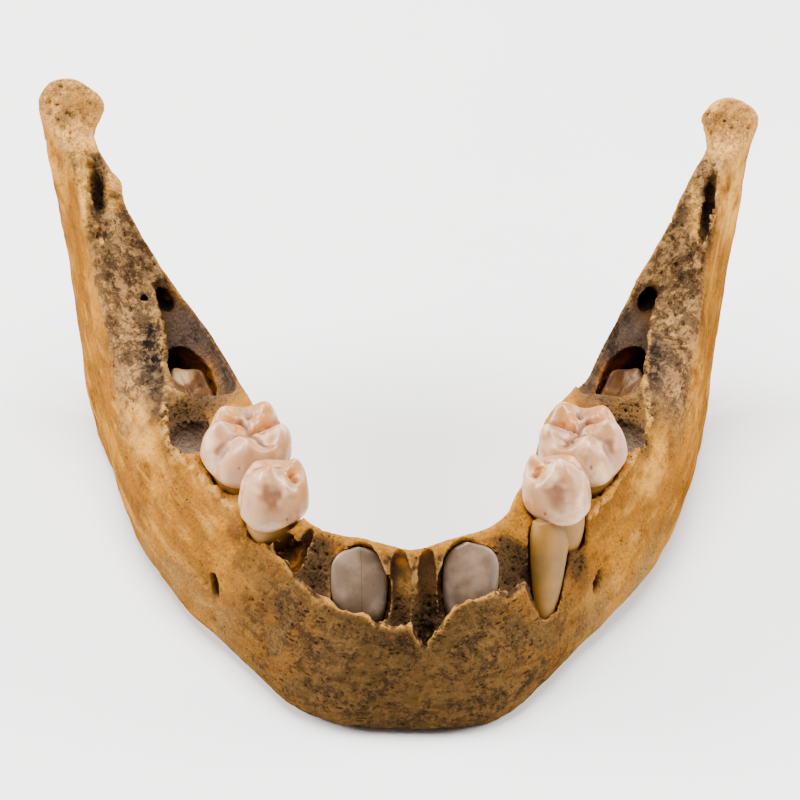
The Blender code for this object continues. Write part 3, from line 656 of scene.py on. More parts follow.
def molar(name, turn, kind, middle, halves, slant, widest):
    """A crown of that kind over a short root."""
    crown, grooves, dimples, worn = KINDS[kind]
    ahead, out, angles, outward = outline_of(TOOTH_POINTS, MOLAR_CORNERS)
    notched = np.zeros(TOOTH_POINTS)
    for angle, deep, wide in grooves:
        off = (np.degrees(angles) - angle + 180) % 360 - 180
        notched += deep * np.exp(-((off / wide) ** 2))
    # The widest part sits lower on the outer side, and the neck rises where two teeth face each other
    belly = widest - 0.5 * outward
    neck = -0.1 - 0.4 * np.maximum(outward, 0) ** 2 - 0.2 * np.maximum(-outward, 0) ** 2
    neck += 0.35 * np.abs(np.cos(angles)) ** 3
    rings = []
    inset = NECK_SHARE - ENAMEL_EDGE / halves[1]
    for share in np.linspace(1, 0, ROOT_RINGS, endpoint=False):
        size = inset - ROOT_TAPER * share**2
        rings.append((size * ahead, size * out, neck - ROOT_LENGTH * share))
    rings.append((inset * ahead, inset * out, neck - 0.02))
    for share in np.linspace(1, 0, SIDE_RINGS, endpoint=False):
        size = (1 - (1 - NECK_SHARE) * share**SIDE_CURVE) * (1 - notched * (1 - share))
        rings.append((size * ahead, size * out, belly + (neck - belly) * share))
    edge = np.stack((ahead * (1 - notched), out * (1 - notched), angles), axis=1)
    stains = [np.zeros(TOOTH_POINTS)] * len(rings)
    basins = stains.copy()
    for step in range(TOP_RINGS):
        radius = math.sin(0.5 * math.pi * (1 - step / TOP_RINGS))
        places = [radius * axis * (1 - notched * radius) for axis in (ahead, out)]
        grain = np.stack((places[0] * 5, places[1] * 5, np.full(TOOTH_POINTS, middle[0])), axis=1)
        bend = 0.035 * radius * (1 - radius) * 4
        bent = [place + bend * swirl(grain, 1.2, seed) for place, seed in zip(places, (21, 22))]
        top, near, basin = crown_height(*bent, belly, edge, *crown)
        rings.append((*places, top))
        stains.append(near)
        basins.append(basin)
    local = np.array(rings).transpose(0, 2, 1) * (*halves, 1)
    made = new_object(name, skinned(local @ tooth_axes(turn, slant) + middle))
    data = made.data
    stain = np.concatenate(stains)
    local = local.reshape(-1, 3)
    height = local[:, 2]
    points = points_of(data)
    points += (evened(data, 5) - points) * ramp(height, 0.6, 1.6)[:, None]
    move_points(data, points)
    normals = normals_of(data)
    for angle, level, radius, depth, tint in dimples:
        turned = np.degrees(np.arctan2(local[:, 1] / halves[1], local[:, 0] / halves[0])) - angle
        off = points - points[np.argmin(np.hypot(((turned + 180) % 360 - 180) / 25, height - level))]
        off[:, 2] *= 0.6
        fall = ramp(np.linalg.norm(off, axis=1) / radius + 0.3 * swirl(points, 0.8, 31), 1, 0.1)
        points = points - normals * (depth * fall)[:, None]
        stain = np.maximum(stain, tint * fall)
    fissures = np.concatenate(basins) * ramp(np.abs(swirl(points, 1.3, 6)), 0.16, 0.0)
    points -= normals * (FISSURE_DEPTH * fissures + 0.05 * swirl(points, 1.8, 5))[:, None]
    move_points(data, points)
    amber = np.zeros(len(points))
    for forwards, outwards, radius in worn:
        far = np.hypot(local[:, 0] / halves[0] - forwards, local[:, 1] / halves[1] - outwards) / radius
        amber = np.maximum(amber, ramp(far + 0.35 * swirl(points, 0.9, 8), 1.2, 0.3) * ramp(height, 3.2, 4.4))
    for field, values in (("stain", np.maximum(stain, 0.5 * fissures)), ("amber", amber),
                          ("hollow", hollowness(data, 14)), ("height", height)):
        store(data, field, values)
    return made


def socket_of(tooth, gap, wear, turn):
    """A copy of the tooth that is larger by the gap all round, to cut with. Its mouth is wider still by up to
    the wear, but not on the tongue side."""
    data = tooth.data.copy()
    points = points_of(data)
    height = read(data.attributes["height"].data, "value", 1).ravel()
    normals = normals_of(data)
    worn = ramp(swirl(points, 1.7, 15) + 0.5 * swirl(points, 0.7, 16), -0.1, 0.8) * ramp(height, -3, -1)
    wider = gap + wear * worn * ramp(normals @ np.array(direction(turn)), -0.4, 0.2)
    move_points(data, points + normals * wider[:, None])
    return placed(tooth.name + "_socket", data)


def ringed(name, profile, turn, middle, halves, slant, neck=0.0, peak=None, off=0.0):
    """A smooth closed form through a profile. With a peak it is a front crown, whose edge rises there."""
    ahead, out = outline_of(RINGED_POINTS, RINGED_CORNERS)[:2]
    rings = []
    for height, length_share, width_share in np.array(smooth_through(profile, 8)):
        up = np.full(RINGED_POINTS, height)
        if peak is not None:
            place = length_share * ahead
            edge = 0.3 * np.exp(-(((place - 0.3 * peak) / 0.2) ** 2)) - 0.9 * np.abs(place) ** 3
            up = up + (edge + 0.25 * peak * place) * ramp(up, 5.0, 8.8)
        rings.append(np.stack((length_share * ahead * halves[0], width_share * out * halves[1], up), axis=1))
    local = np.array(rings)
    made = new_object(name, skinned(local @ tooth_axes(turn, slant) + middle))
    local = local.reshape(-1, 3)
    if peak is not None:
        store(made.data, "crack", np.abs(local[:, 0] + 0.25 - 1.1 * peak) + off)
    store(made.data, "height", local[:, 2] - neck)
    return made


teeth = {name: molar(name + "_tooth", *measures) for name, measures in MOLARS.items()}
for name, measures in INCISORS.items():
    teeth[name] = ringed(name + "_tooth", INCISOR_PROFILE, *measures, 0.0, *PEAKS[name])
combine(teeth["left_first_milk_molar"], ringed("long_root", MILK_ROOT, *LONG_ROOT, ROOT_NECK), "UNION")

# The crowns in the molar crypts are stained all over but for one cusp each
CLEAN_CUSPS = {
    "right_first_molar_crown": ((-25.4, 6.8, 16.4), (1.5, 1.5, 1.5), 1.0),
    "left_first_molar_crown": ((27.4, 6.4, 16.4), (1.2, 1.2, 1.2), 0.4),
}
CRYPT_STAIN = 0.66
for name, cusp in CLEAN_CUSPS.items():
    data = teeth[name].data
    stained = CRYPT_STAIN * (1 - blobs(points_of(data), [cusp]))
    data.attributes["stain"].data.foreach_set("value", stained.astype(np.float32))

# The bone is cut, and made one even fine mesh
bone = whole_bone()
whole = bone.data.copy()
combine(bone, front_break(), "DIFFERENCE")
for side in (-1, 1):
    combine(bone, gutter(side), "DIFFERENCE")
for name, measures in PITS.items():
    combine(bone, pit(name, *measures), "DIFFERENCE")
for name, (turn, *_) in (MOLARS | INCISORS).items():
    gap, wear = (SOCKET_GAP, SOCKET_WEAR) if "milk" in name else (CRYPT_GAP, 0)
    combine(bone, socket_of(teeth[name], gap, wear, turn), "DIFFERENCE")
modify(bone, "REMESH", mode="VOXEL", voxel_size=VOXEL * MM)


# Where the bone is marked. Each place is a centre, half sizes in mm and a strength.
MARKS = {
    "spongy": (
        ((-24.7, -3, 19.6), (4.4, 3.2, 2.8), 1), ((-26.2, -7.6, 18.6), (1.5, 2.2, 1.6), 0.8),
        ((26.8, -2.8, 19.6), (4, 3.2, 2.8), 1), ((28.4, -7, 18.2), (1.3, 2.4, 1.6), 0.8),
        ((-9.4, -25.6, 16.4), (3, 3, 5.4), 0.9), ((12.4, -25, 16.2), (2.8, 2.8, 5.2), 0.9),
        ((20, -21.6, 13.6), (1.7, 1.9, 3.8), 1), ((-35.6, 20.4, 31.2), (1.2, 6, 5.2), 0.8),
        ((36.2, 19.6, 30), (1.1, 6, 5.2), 0.8), ((3.2, -29.8, 13.4), (2, 2, 3.6), 1),
        ((0.4, -29.4, 14.2), (2.4, 2, 4.4), 0.7), ((-15.4, -21.6, 17.8), (2.4, 1.2, 1.2), 0.4),
    ),
    "soot": (
        ((-28.9, 6.8, 20.8), (2.1, 5.6, 2.6), 1), ((-28.2, 1.8, 20), (1.6, 2.4, 2), 0.7),
        ((-31.2, 16, 24.6), (1.5, 4, 2.6), 0.55), ((-27.6, 13.2, 23.6), (1.5, 2.2, 1.6), 0.7),
        ((-21.8, 4.6, 21.4), (1, 3.4, 1.6), 0.55), ((-23.2, 9.4, 22), (1.2, 2.2, 1.6), 0.5),
        ((29.4, 4.8, 20.4), (1.5, 4.4, 2.4), 0.85), ((30.6, 12.6, 22.8), (1.6, 3.4, 2.2), 0.5),
        ((28.2, 13.2, 23.4), (1.4, 2, 1.5), 0.7), ((33.4, 14, 23.8), (1, 2.4, 2), 0.5),
        ((3.7, -30, 13.2), (1.5, 1.8, 3.4), 1), ((2.6, -31.2, 10.8), (1, 1.5, 1.6), 1),
        ((-10, -26.4, 13.6), (1.8, 1.6, 1.2), 0.9), ((12.6, -25.4, 13.6), (1.6, 1.4, 1), 0.5),
        ((-17.8, -20.9, 16.7), (2.2, 1.8, 1.6), 0.5), ((-6.8, -29.2, 12.4), (2.2, 1.6, 1.2), 0.5),
        ((-1, -27.4, 18.8), (0.6, 1, 1.4), 0.6),
    ),
    "brown": (
        ((-34.2, 15.6, 26.2), (0.9, 5.4, 4.4), 0.6), ((-33.6, 9, 21.4), (1, 4.6, 3), 0.6),
        ((-31.6, 19.4, 29.4), (1.4, 3.6, 4.2), 0.5), ((-29.6, 17, 26), (1.3, 4, 3), 0.7),
        ((34.6, 16.4, 26.6), (1.4, 5.4, 4.6), 1), ((32.6, 15.4, 25), (1.5, 4, 3.4), 0.8),
        ((32, 7.4, 20.4), (2.2, 4.4, 2.6), 0.55), ((31.3, 9.1, 21), (0.8, 0.9, 0.9), 1),
        ((35.4, 12.2, 21.5), (0.5, 0.8, 0.7), 1), ((16.5, -29.5, 5.5), (0.9, 0.9, 0.7), 0.9),
        ((-25, 4.6, 16.4), (4.4, 6.4, 4.6), 0.8), ((26.2, 4.6, 16.4), (4, 6.4, 4.6), 0.8),
        ((-13.2, -28.4, 14.2), (3.6, 2.6, 2.6), 0.8), ((0, -36, 1.2), (12, 6, 2.4), 0.5),
        ((-36.2, 20, 31), (0.8, 5, 4.6), 0.8), ((36.4, 19.2, 30), (0.7, 5, 4.6), 1),
    ),
    # Pale bone on crumbled edges and worn places; the broad patches on the outer sides of the body and rami
    # are painted highlight
    "pale": (
        ((-27.4, 7.6, 21.2), (0.7, 2, 1.4), 0.9), ((-27.2, 3.6, 20.2), (0.8, 2.2, 1.4), 0.9),
        ((-26.4, -0.4, 20), (0.9, 1.4, 1), 0.7), ((28.4, 3.4, 20.6), (0.7, 3.4, 1.6), 0.9),
        ((-26.4, -9.2, 18.6), (1.2, 1.2, 1.2), 0.6), ((-39.4, 27, 37.6), (1.2, 2.6, 2.4), 0.8),
        ((-37.8, 25.2, 35.4), (1, 1.8, 2), 0.8), ((-37, 21.4, 33), (1, 5.6, 5.2), 0.9),
        ((-36.4, 25.4, 36), (1.6, 1.6, 1.6), 1), ((-33.6, 22.2, 32), (1.3, 3.4, 3), 1),
        ((38, 19.6, 31), (0.8, 6, 5), 0.7), ((34.6, 20.4, 30.4), (0.8, 5, 4), 0.7),
        ((-13.4, -22.4, 18), (2.4, 1.6, 1.4), 0.6), ((-1.6, -28.2, 16.4), (0.5, 2, 4), 0.4),
        ((0.6, -28.4, 16), (1, 1.6, 3.4), 0.5), ((-30.4, -3.6, 16.8), (3, 6, 3.6), 0.55),
        ((29.2, -8.4, 15.6), (2.6, 6, 3.2), 0.6), ((-41, 24, 30), (2, 8, 8), 0.5),
        ((40, 22, 29), (2, 8, 8), 0.7), ((27.4, -2.4, 20), (2.8, 2.2, 2.2), 0.8),
    ),
    # Painted light: an orange glow of light shining through thin bone on the crypt and socket walls
    "amber": (
        ((-23.4, 5.4, 17), (3.6, 6, 4.4), 0.8), ((25, 5.6, 17), (3.6, 6, 4.4), 1),
        ((-4.4, -25.6, 19.6), (3.6, 1.2, 1.6), 0.9), ((8, -24.8, 19.6), (3.6, 1.2, 1.4), 0.8),
        ((0.4, -26.8, 19.2), (0.9, 0.9, 1), 1), ((-11.6, -24, 15), (1, 1.8, 4), 0.5),
    ),
    "condyle": (
        ((-38.4, 28.4, 39.4), (4.6, 5, 5.4), 1), ((38.8, 28.4, 37), (4.4, 5, 5.2), 1),
    ),
    "grey": (
        ((-24.4, 8.4, 20.4), (4.2, 6.6, 3.6), 1), ((25.6, 8.4, 20.4), (4, 6.6, 3.6), 1),
        ((-24.6, -6, 17), (3, 2.8, 3.8), 1), ((25.6, -5.8, 17), (2.8, 2.8, 3.8), 1),
        ((-21.6, 2.4, 20.4), (3.6, 5.4, 3), 1), ((23, 2.4, 20.4), (3.4, 5.4, 3), 0.9),
        ((-28.4, 5, 20.4), (2.4, 7, 2.4), 0.7), ((29.8, 4, 20.2), (2.2, 6, 2.4), 0.6),
        ((-28, -0.6, 19.4), (2.2, 3.4, 1.8), 0.6), ((29.4, 0, 19.4), (1.8, 3.6, 1.8), 0.5),
        ((-39.6, 28.6, 38), (1.2, 2, 1.6), 0.7),
    ),
    # Painted light: the walls of the back hollows, lightened where their own shade falls
    "hollow_walls": (
        ((-24.4, -6, 16.6), (3.6, 3.6, 3), 1), ((26, -5.8, 16.6), (3.4, 3.6, 3), 1),
    ),
    # Painted shade: near-black inside the nerve openings, foramina, crypts and broken coronoids
    "dark": (
        ((-27.9, 14.2, 21.4), (1.9, 2.2, 2.2), 1), ((29.1, 14.2, 21.6), (1.9, 2.2, 2.2), 1),
        ((-30.1, 13.7, 21.8), (0.9, 0.9, 1.4), 1), ((-19.9, -20.9, 8.2), (1.4, 1.4, 2), 0.6),
        ((21.6, -20.2, 8.2), (1.4, 1.4, 2), 0.6), ((-27.6, 9, 17), (2.2, 2.6, 4), 0.5),
        ((29, 9, 17), (2.2, 2.6, 4), 0.6), ((-35.4, 21, 32), (1.4, 4.6, 4.4), 0.9),
        ((36.3, 19.6, 30.2), (1, 5.6, 4.8), 0.9),
    ),
}
SMOOTH_HOLLOWS = 4  # the first of the grey places keep smooth walls
# Thin crumbled edges that stand proud: along the gutters and hollows behind the molars, along the sockets,
# and round the broken coronoids
CRESTS = (
    ((-36.9, 24.8, 35.6), (-36.9, 22, 33.2), (-36.2, 19, 30.2), (-35.2, 17, 28)),
    ((-36.9, 24.8, 35.6), (-35.2, 24.8, 35), (-33.6, 22.9, 32.9), (-34, 20.6, 30.8), (-35.2, 17, 28)),
    ((37.4, 23.8, 34.4), (36.9, 20.6, 32), (36.2, 17.6, 29), (35.2, 15.2, 26.8)),
    ((36.4, 24, 34.2), (35.2, 20.6, 31.4), (34.9, 17.6, 28.8), (35.2, 15.2, 26.8)),
    ((-28.6, 11.5, 21.8), (-27.9, 8.3, 21.2), (-27.6, 5, 20.5), (-26.9, 1.2, 19.9)),
    ((-26.9, 1.2, 19.9), (-27.5, -2.6, 19.4), (-26.9, -6.4, 19), (-25.6, -9.2, 18.7)),
    (
        (-25.6, -9.2, 18.7), (-23.4, -11.8, 18.3), (-20, -16.1, 17.8), (-17.7, -19.7, 16.8),
        (-15.6, -21.8, 16.6),
    ),
    ((29.8, 11, 21.8), (29.2, 8, 21.2), (28.9, 5, 20.5), (28.4, 1.2, 19.9)),
    ((28.4, 1.2, 19.9), (28.9, -2.6, 19.2), (28.4, -6.4, 18.7), (27.3, -9, 18.3)),
    ((27.3, -9, 18.3), (25.6, -11.8, 18), (23.3, -15.6, 17.5), (21.4, -18.6, 16.8)),
)
# The condyles' middles as (x, height), and their half sizes
CONDYLE_MIDDLES = ((-38.7, 37.7), (38.2, 36.0))
CONDYLE_HALVES = (2.8, 3.6)
CONDYLE_ROUNDING = 1.5
CONDYLE_BACKS = (27.5, 32.2)  # how far back the rounding sets in, and where it is full
# Along the arch from the chin: where the fronts of the rami set in and are full, and where the chin's
# roughness ends and is full
RAMUS_ALONG = (37, 47)
CHIN_ALONG = (16, 9)
RAMUS_LOOKS = np.array((0, -0.5, 0.87))
INSIDE_BOX = 0.01


def crested(points):
    """1 on the crumbled edges, falling to 0 a little off them."""
    far = np.full(len(points), 9.0)
    for line in CRESTS:
        for at in smooth_through(line, 16):
            far = np.minimum(far, np.linalg.norm(points - at, axis=1))
    return ramp(far + 0.3 * swirl(points, 0.9, 23), 0.62, 0.15)


def under_whole(points):
    """How far each point lies below the whole bone's surface, in mm, and which way that faces there."""
    depth, facing = np.zeros(len(points)), np.zeros((len(points), 3))
    for i, point in enumerate(points):
        place, facing[i], _, far = whole_tree.find_nearest(point)
        if far and (Vector(point) - place).dot(Vector(facing[i])) < 0:
            depth[i] = far
    return depth, facing


def domed(points):
    """The points with the backs of the condyles rounded off."""
    points = points.copy()
    for middle in CONDYLE_MIDDLES:
        away = np.sum(((points[:, (0, 2)] - middle) / CONDYLE_HALVES) ** 2, axis=1)
        moved = CONDYLE_ROUNDING * np.minimum(away, 1.1) * ramp(away, 9, 3)
        points[:, 1] -= moved * ramp(points[:, 1], *CONDYLE_BACKS)
    return points


def unit(rows):
    return rows / np.linalg.norm(rows, axis=1)[:, None]


def jaw_places(points):
    """Each point as mm along the arch, outwards and upwards from the middle of the bone there."""
    halves = []
    for side in (-1, 1):
        for (x, y), turn, lean, outline in STATIONS[:: -1 if side < 0 else 1]:
            heights = [height for out, height in outline]
            halves.append(((side * x + lean, y, (min(heights) + max(heights)) / 2), direction(side * turn)))
    del halves[len(STATIONS) - 1]
    centres, outward = (np.array(smooth_through(rows, 10)) for rows in zip(*halves))
    ahead = unit(np.gradient(centres, axis=0))
    outward = unit(outward - np.sum(outward * ahead, axis=1)[:, None] * ahead)
    upward = np.cross(outward, ahead)
    upward *= np.sign(upward[:, 2:])
    along = np.concatenate(([0], np.cumsum(np.linalg.norm(np.diff(centres, axis=0), axis=1))))
    along -= along[len(along) // 2]
    nearest, best = np.zeros(len(points), int), np.full(len(points), 1e9)
    for i, centre in enumerate(centres):
        far = np.sum((points - centre) ** 2, axis=1)
        closer = far < best
        nearest[closer], best[closer] = i, far[closer]
    away = points - centres[nearest]
    place = np.stack([np.sum(away * axis[nearest], axis=1) for axis in (ahead, outward, upward)], axis=1)
    place[:, 0] += along[nearest]
    return place


def ramus_face(place, normals):
    """1 on the front face of each ramus, whose bone is weathered to a rough brown, and 0 elsewhere."""
    return ramp(np.abs(place[:, 0]), *RAMUS_ALONG) * ramp(normals @ RAMUS_LOOKS, 0.35, 0.65)


for data in (whole, bone.data):
    move_points(data, domed(points_of(data)))
corners = [list(face.vertices) for face in whole.polygons]
whole_tree = BVHTree.FromPolygons([Vector(point) for point in points_of(whole)], corners)

# Broken surfaces are rough and spongy ones pitted; the outside keeps faint lumps and lengthwise grain
points = points_of(bone.data)
depth, facing = under_whole(points)
place = jaw_places(points)
broken = ramp(depth, 0.15, 0.6)
sound = 1 - broken
face = ramus_face(place, facing) * sound
chin = ramp(np.abs(place[:, 0]), *CHIN_ALONG) * sound
spongy = blobs(points, MARKS["spongy"]) * np.maximum(broken, 0.35)
rough = broken * (1 - 0.75 * blobs(points, MARKS["grey"][:SMOOTH_HOLLOWS])) * (1 - 0.6 * spongy)
relief = crested(points) * (0.16 + 0.5 * swirl(points, 1.1, 24))
relief += 0.12 * face * swirl(place * (0.45, 1, 1), 1.2, 12)
for where, height, size, seed in (
    (rough, 0.13, 1.1, 1), (rough, 0.08, 0.55, 2), (sound, 0.06, 2.4, 4), (sound, 0.04, 1.0, 7),
    (face, 0.10, 0.6, 13), (chin, 0.06, 0.8, 17), (chin, 0.05, 0.5, 18),
):
    relief += height * where * swirl(points, size, seed)
for where, deep, holes in (
    (spongy, 0.50, pores(points, 0.8, 3, 0.32, 0.14)),
    (spongy, 0.30, pores(points + 5.3, 0.5, 9, 0.24, 0.10)),
    (face, 0.30, pores(points * (1, 0.6, 0.8), 1.1, 14, 0.36, 0.12)),
    (chin, 0.16, pores(points, 1.0, 19, 0.30, 0.10)), (sound, 0.22, pores(points, 2.3, 11, 0.22, 0.06)),
):
    relief -= deep * where * holes
move_points(bone.data, points + normals_of(bone.data) * relief[:, None])
modify(bone, "DECIMATE", ratio=MOST_TRIANGLES / (2 * len(bone.data.polygons)))

# Nothing may stand out of the box of the solids; then every mark is stored for the bone's material to read
low, high = (np.array(corner) / MM + CENTRE_AT for corner in cad_box)
points = np.clip(points_of(bone.data), low + INSIDE_BOX, high - INSIDE_BOX)
move_points(bone.data, points)
depth, facing = under_whole(points)
place = jaw_places(points)
upward = normals_of(bone.data) @ np.array((0, -0.4, 0.9))
seen_above = np.maximum(ramp(depth, 0.1, 0.5), ramp(upward, 0.1, 0.5))
found = {name: blobs(points, places) for name, places in MARKS.items()}
# Grey and soot lie where the bone is broken or looks up
found["grey"] *= seen_above
found["soot"] *= seen_above
found["place"] = place
found["depth"] = depth
found["face"] = ramus_face(place, facing)
found["fine_hollow"] = hollowness(bone.data, 6)
found["broad_hollow"] = hollowness(bone.data, 60)
found["crest"] = crested(points)
found["holes"] = np.maximum(pores(points, 0.8, 3, 0.36, 0.2), 0.8 * pores(points + 5.3, 0.5, 9, 0.28, 0.16))
for name, values in found.items():
    store(bone.data, name, values)
bone.data.shade_smooth()


# The materials. Their patterns are laid out in mm, over the piece or along the arch, whose places are stored


def surface(name, *stored):
    """A new node material: its tree, object coordinates in mm to lay its patterns out by, and the values
    stored on the vertices."""
    made = bpy.data.materials.new(name)
    made.use_nodes = True
    tree = made.node_tree
    tree.nodes.clear()
    in_metres = add(tree, "TexCoord")["Object"]
    at = add(tree, "VectorMath", {0: in_metres, "Scale": 1 / MM}, operation="SCALE")[0]
    marks = {mark: add(tree, "Attribute", attribute_name=mark)["Fac"] for mark in stored}
    return made, tree, at, SimpleNamespace(**marks)


def patches(at, size, low, high, detail=4, roughness=0.5):
    """Soft-edged patches about size mm across: a cloudy noise, and the two values between which they rise."""
    inputs = {"Vector": at, "Scale": 1 / size, "Detail": detail, "Roughness": roughness}
    return add(at.id_data, "TexNoise", inputs)["Fac"], low, high


def specks(at, size, radius):
    """Round specks of a radius in mm, one to a cell of that size, given as patches are."""
    far = add(at.id_data, "TexVoronoi", {"Vector": at, "Scale": 1 / size})["Distance"]
    return far, radius / size, 0.4 * radius / size


def amount(tree, *parts):
    """All the parts multiplied together; one given as (value, low, high) rises from 0 at low to 1 at high."""
    made = None
    for part in parts:
        if isinstance(part, tuple):
            reach = dict(zip(("Value", "From Min", "From Max"), part))
            part = add(tree, "MapRange", reach, interpolation_type="SMOOTHSTEP")["Result"]
        made = part if made is None else add(tree, "Math", {0: made, 1: part}, operation="MULTIPLY")[0]
    return made


def paint(tree, base, layers, **look):
    """Lays layers over the base colour, each a colour and the parts of its amount, and adds the shader."""
    colour = linear(base)
    for over, *parts in layers:
        colour = add(tree, "Mix", {0: amount(tree, *parts), 6: colour, 7: linear(over)}, data_type="RGBA")[2]
    look = {name.replace("_", " "): value for name, value in look.items()}
    shader = add(tree, "BsdfPrincipled", {"Base Color": colour, **look})[0]
    add(tree, "OutputMaterial", {"Surface": shader})


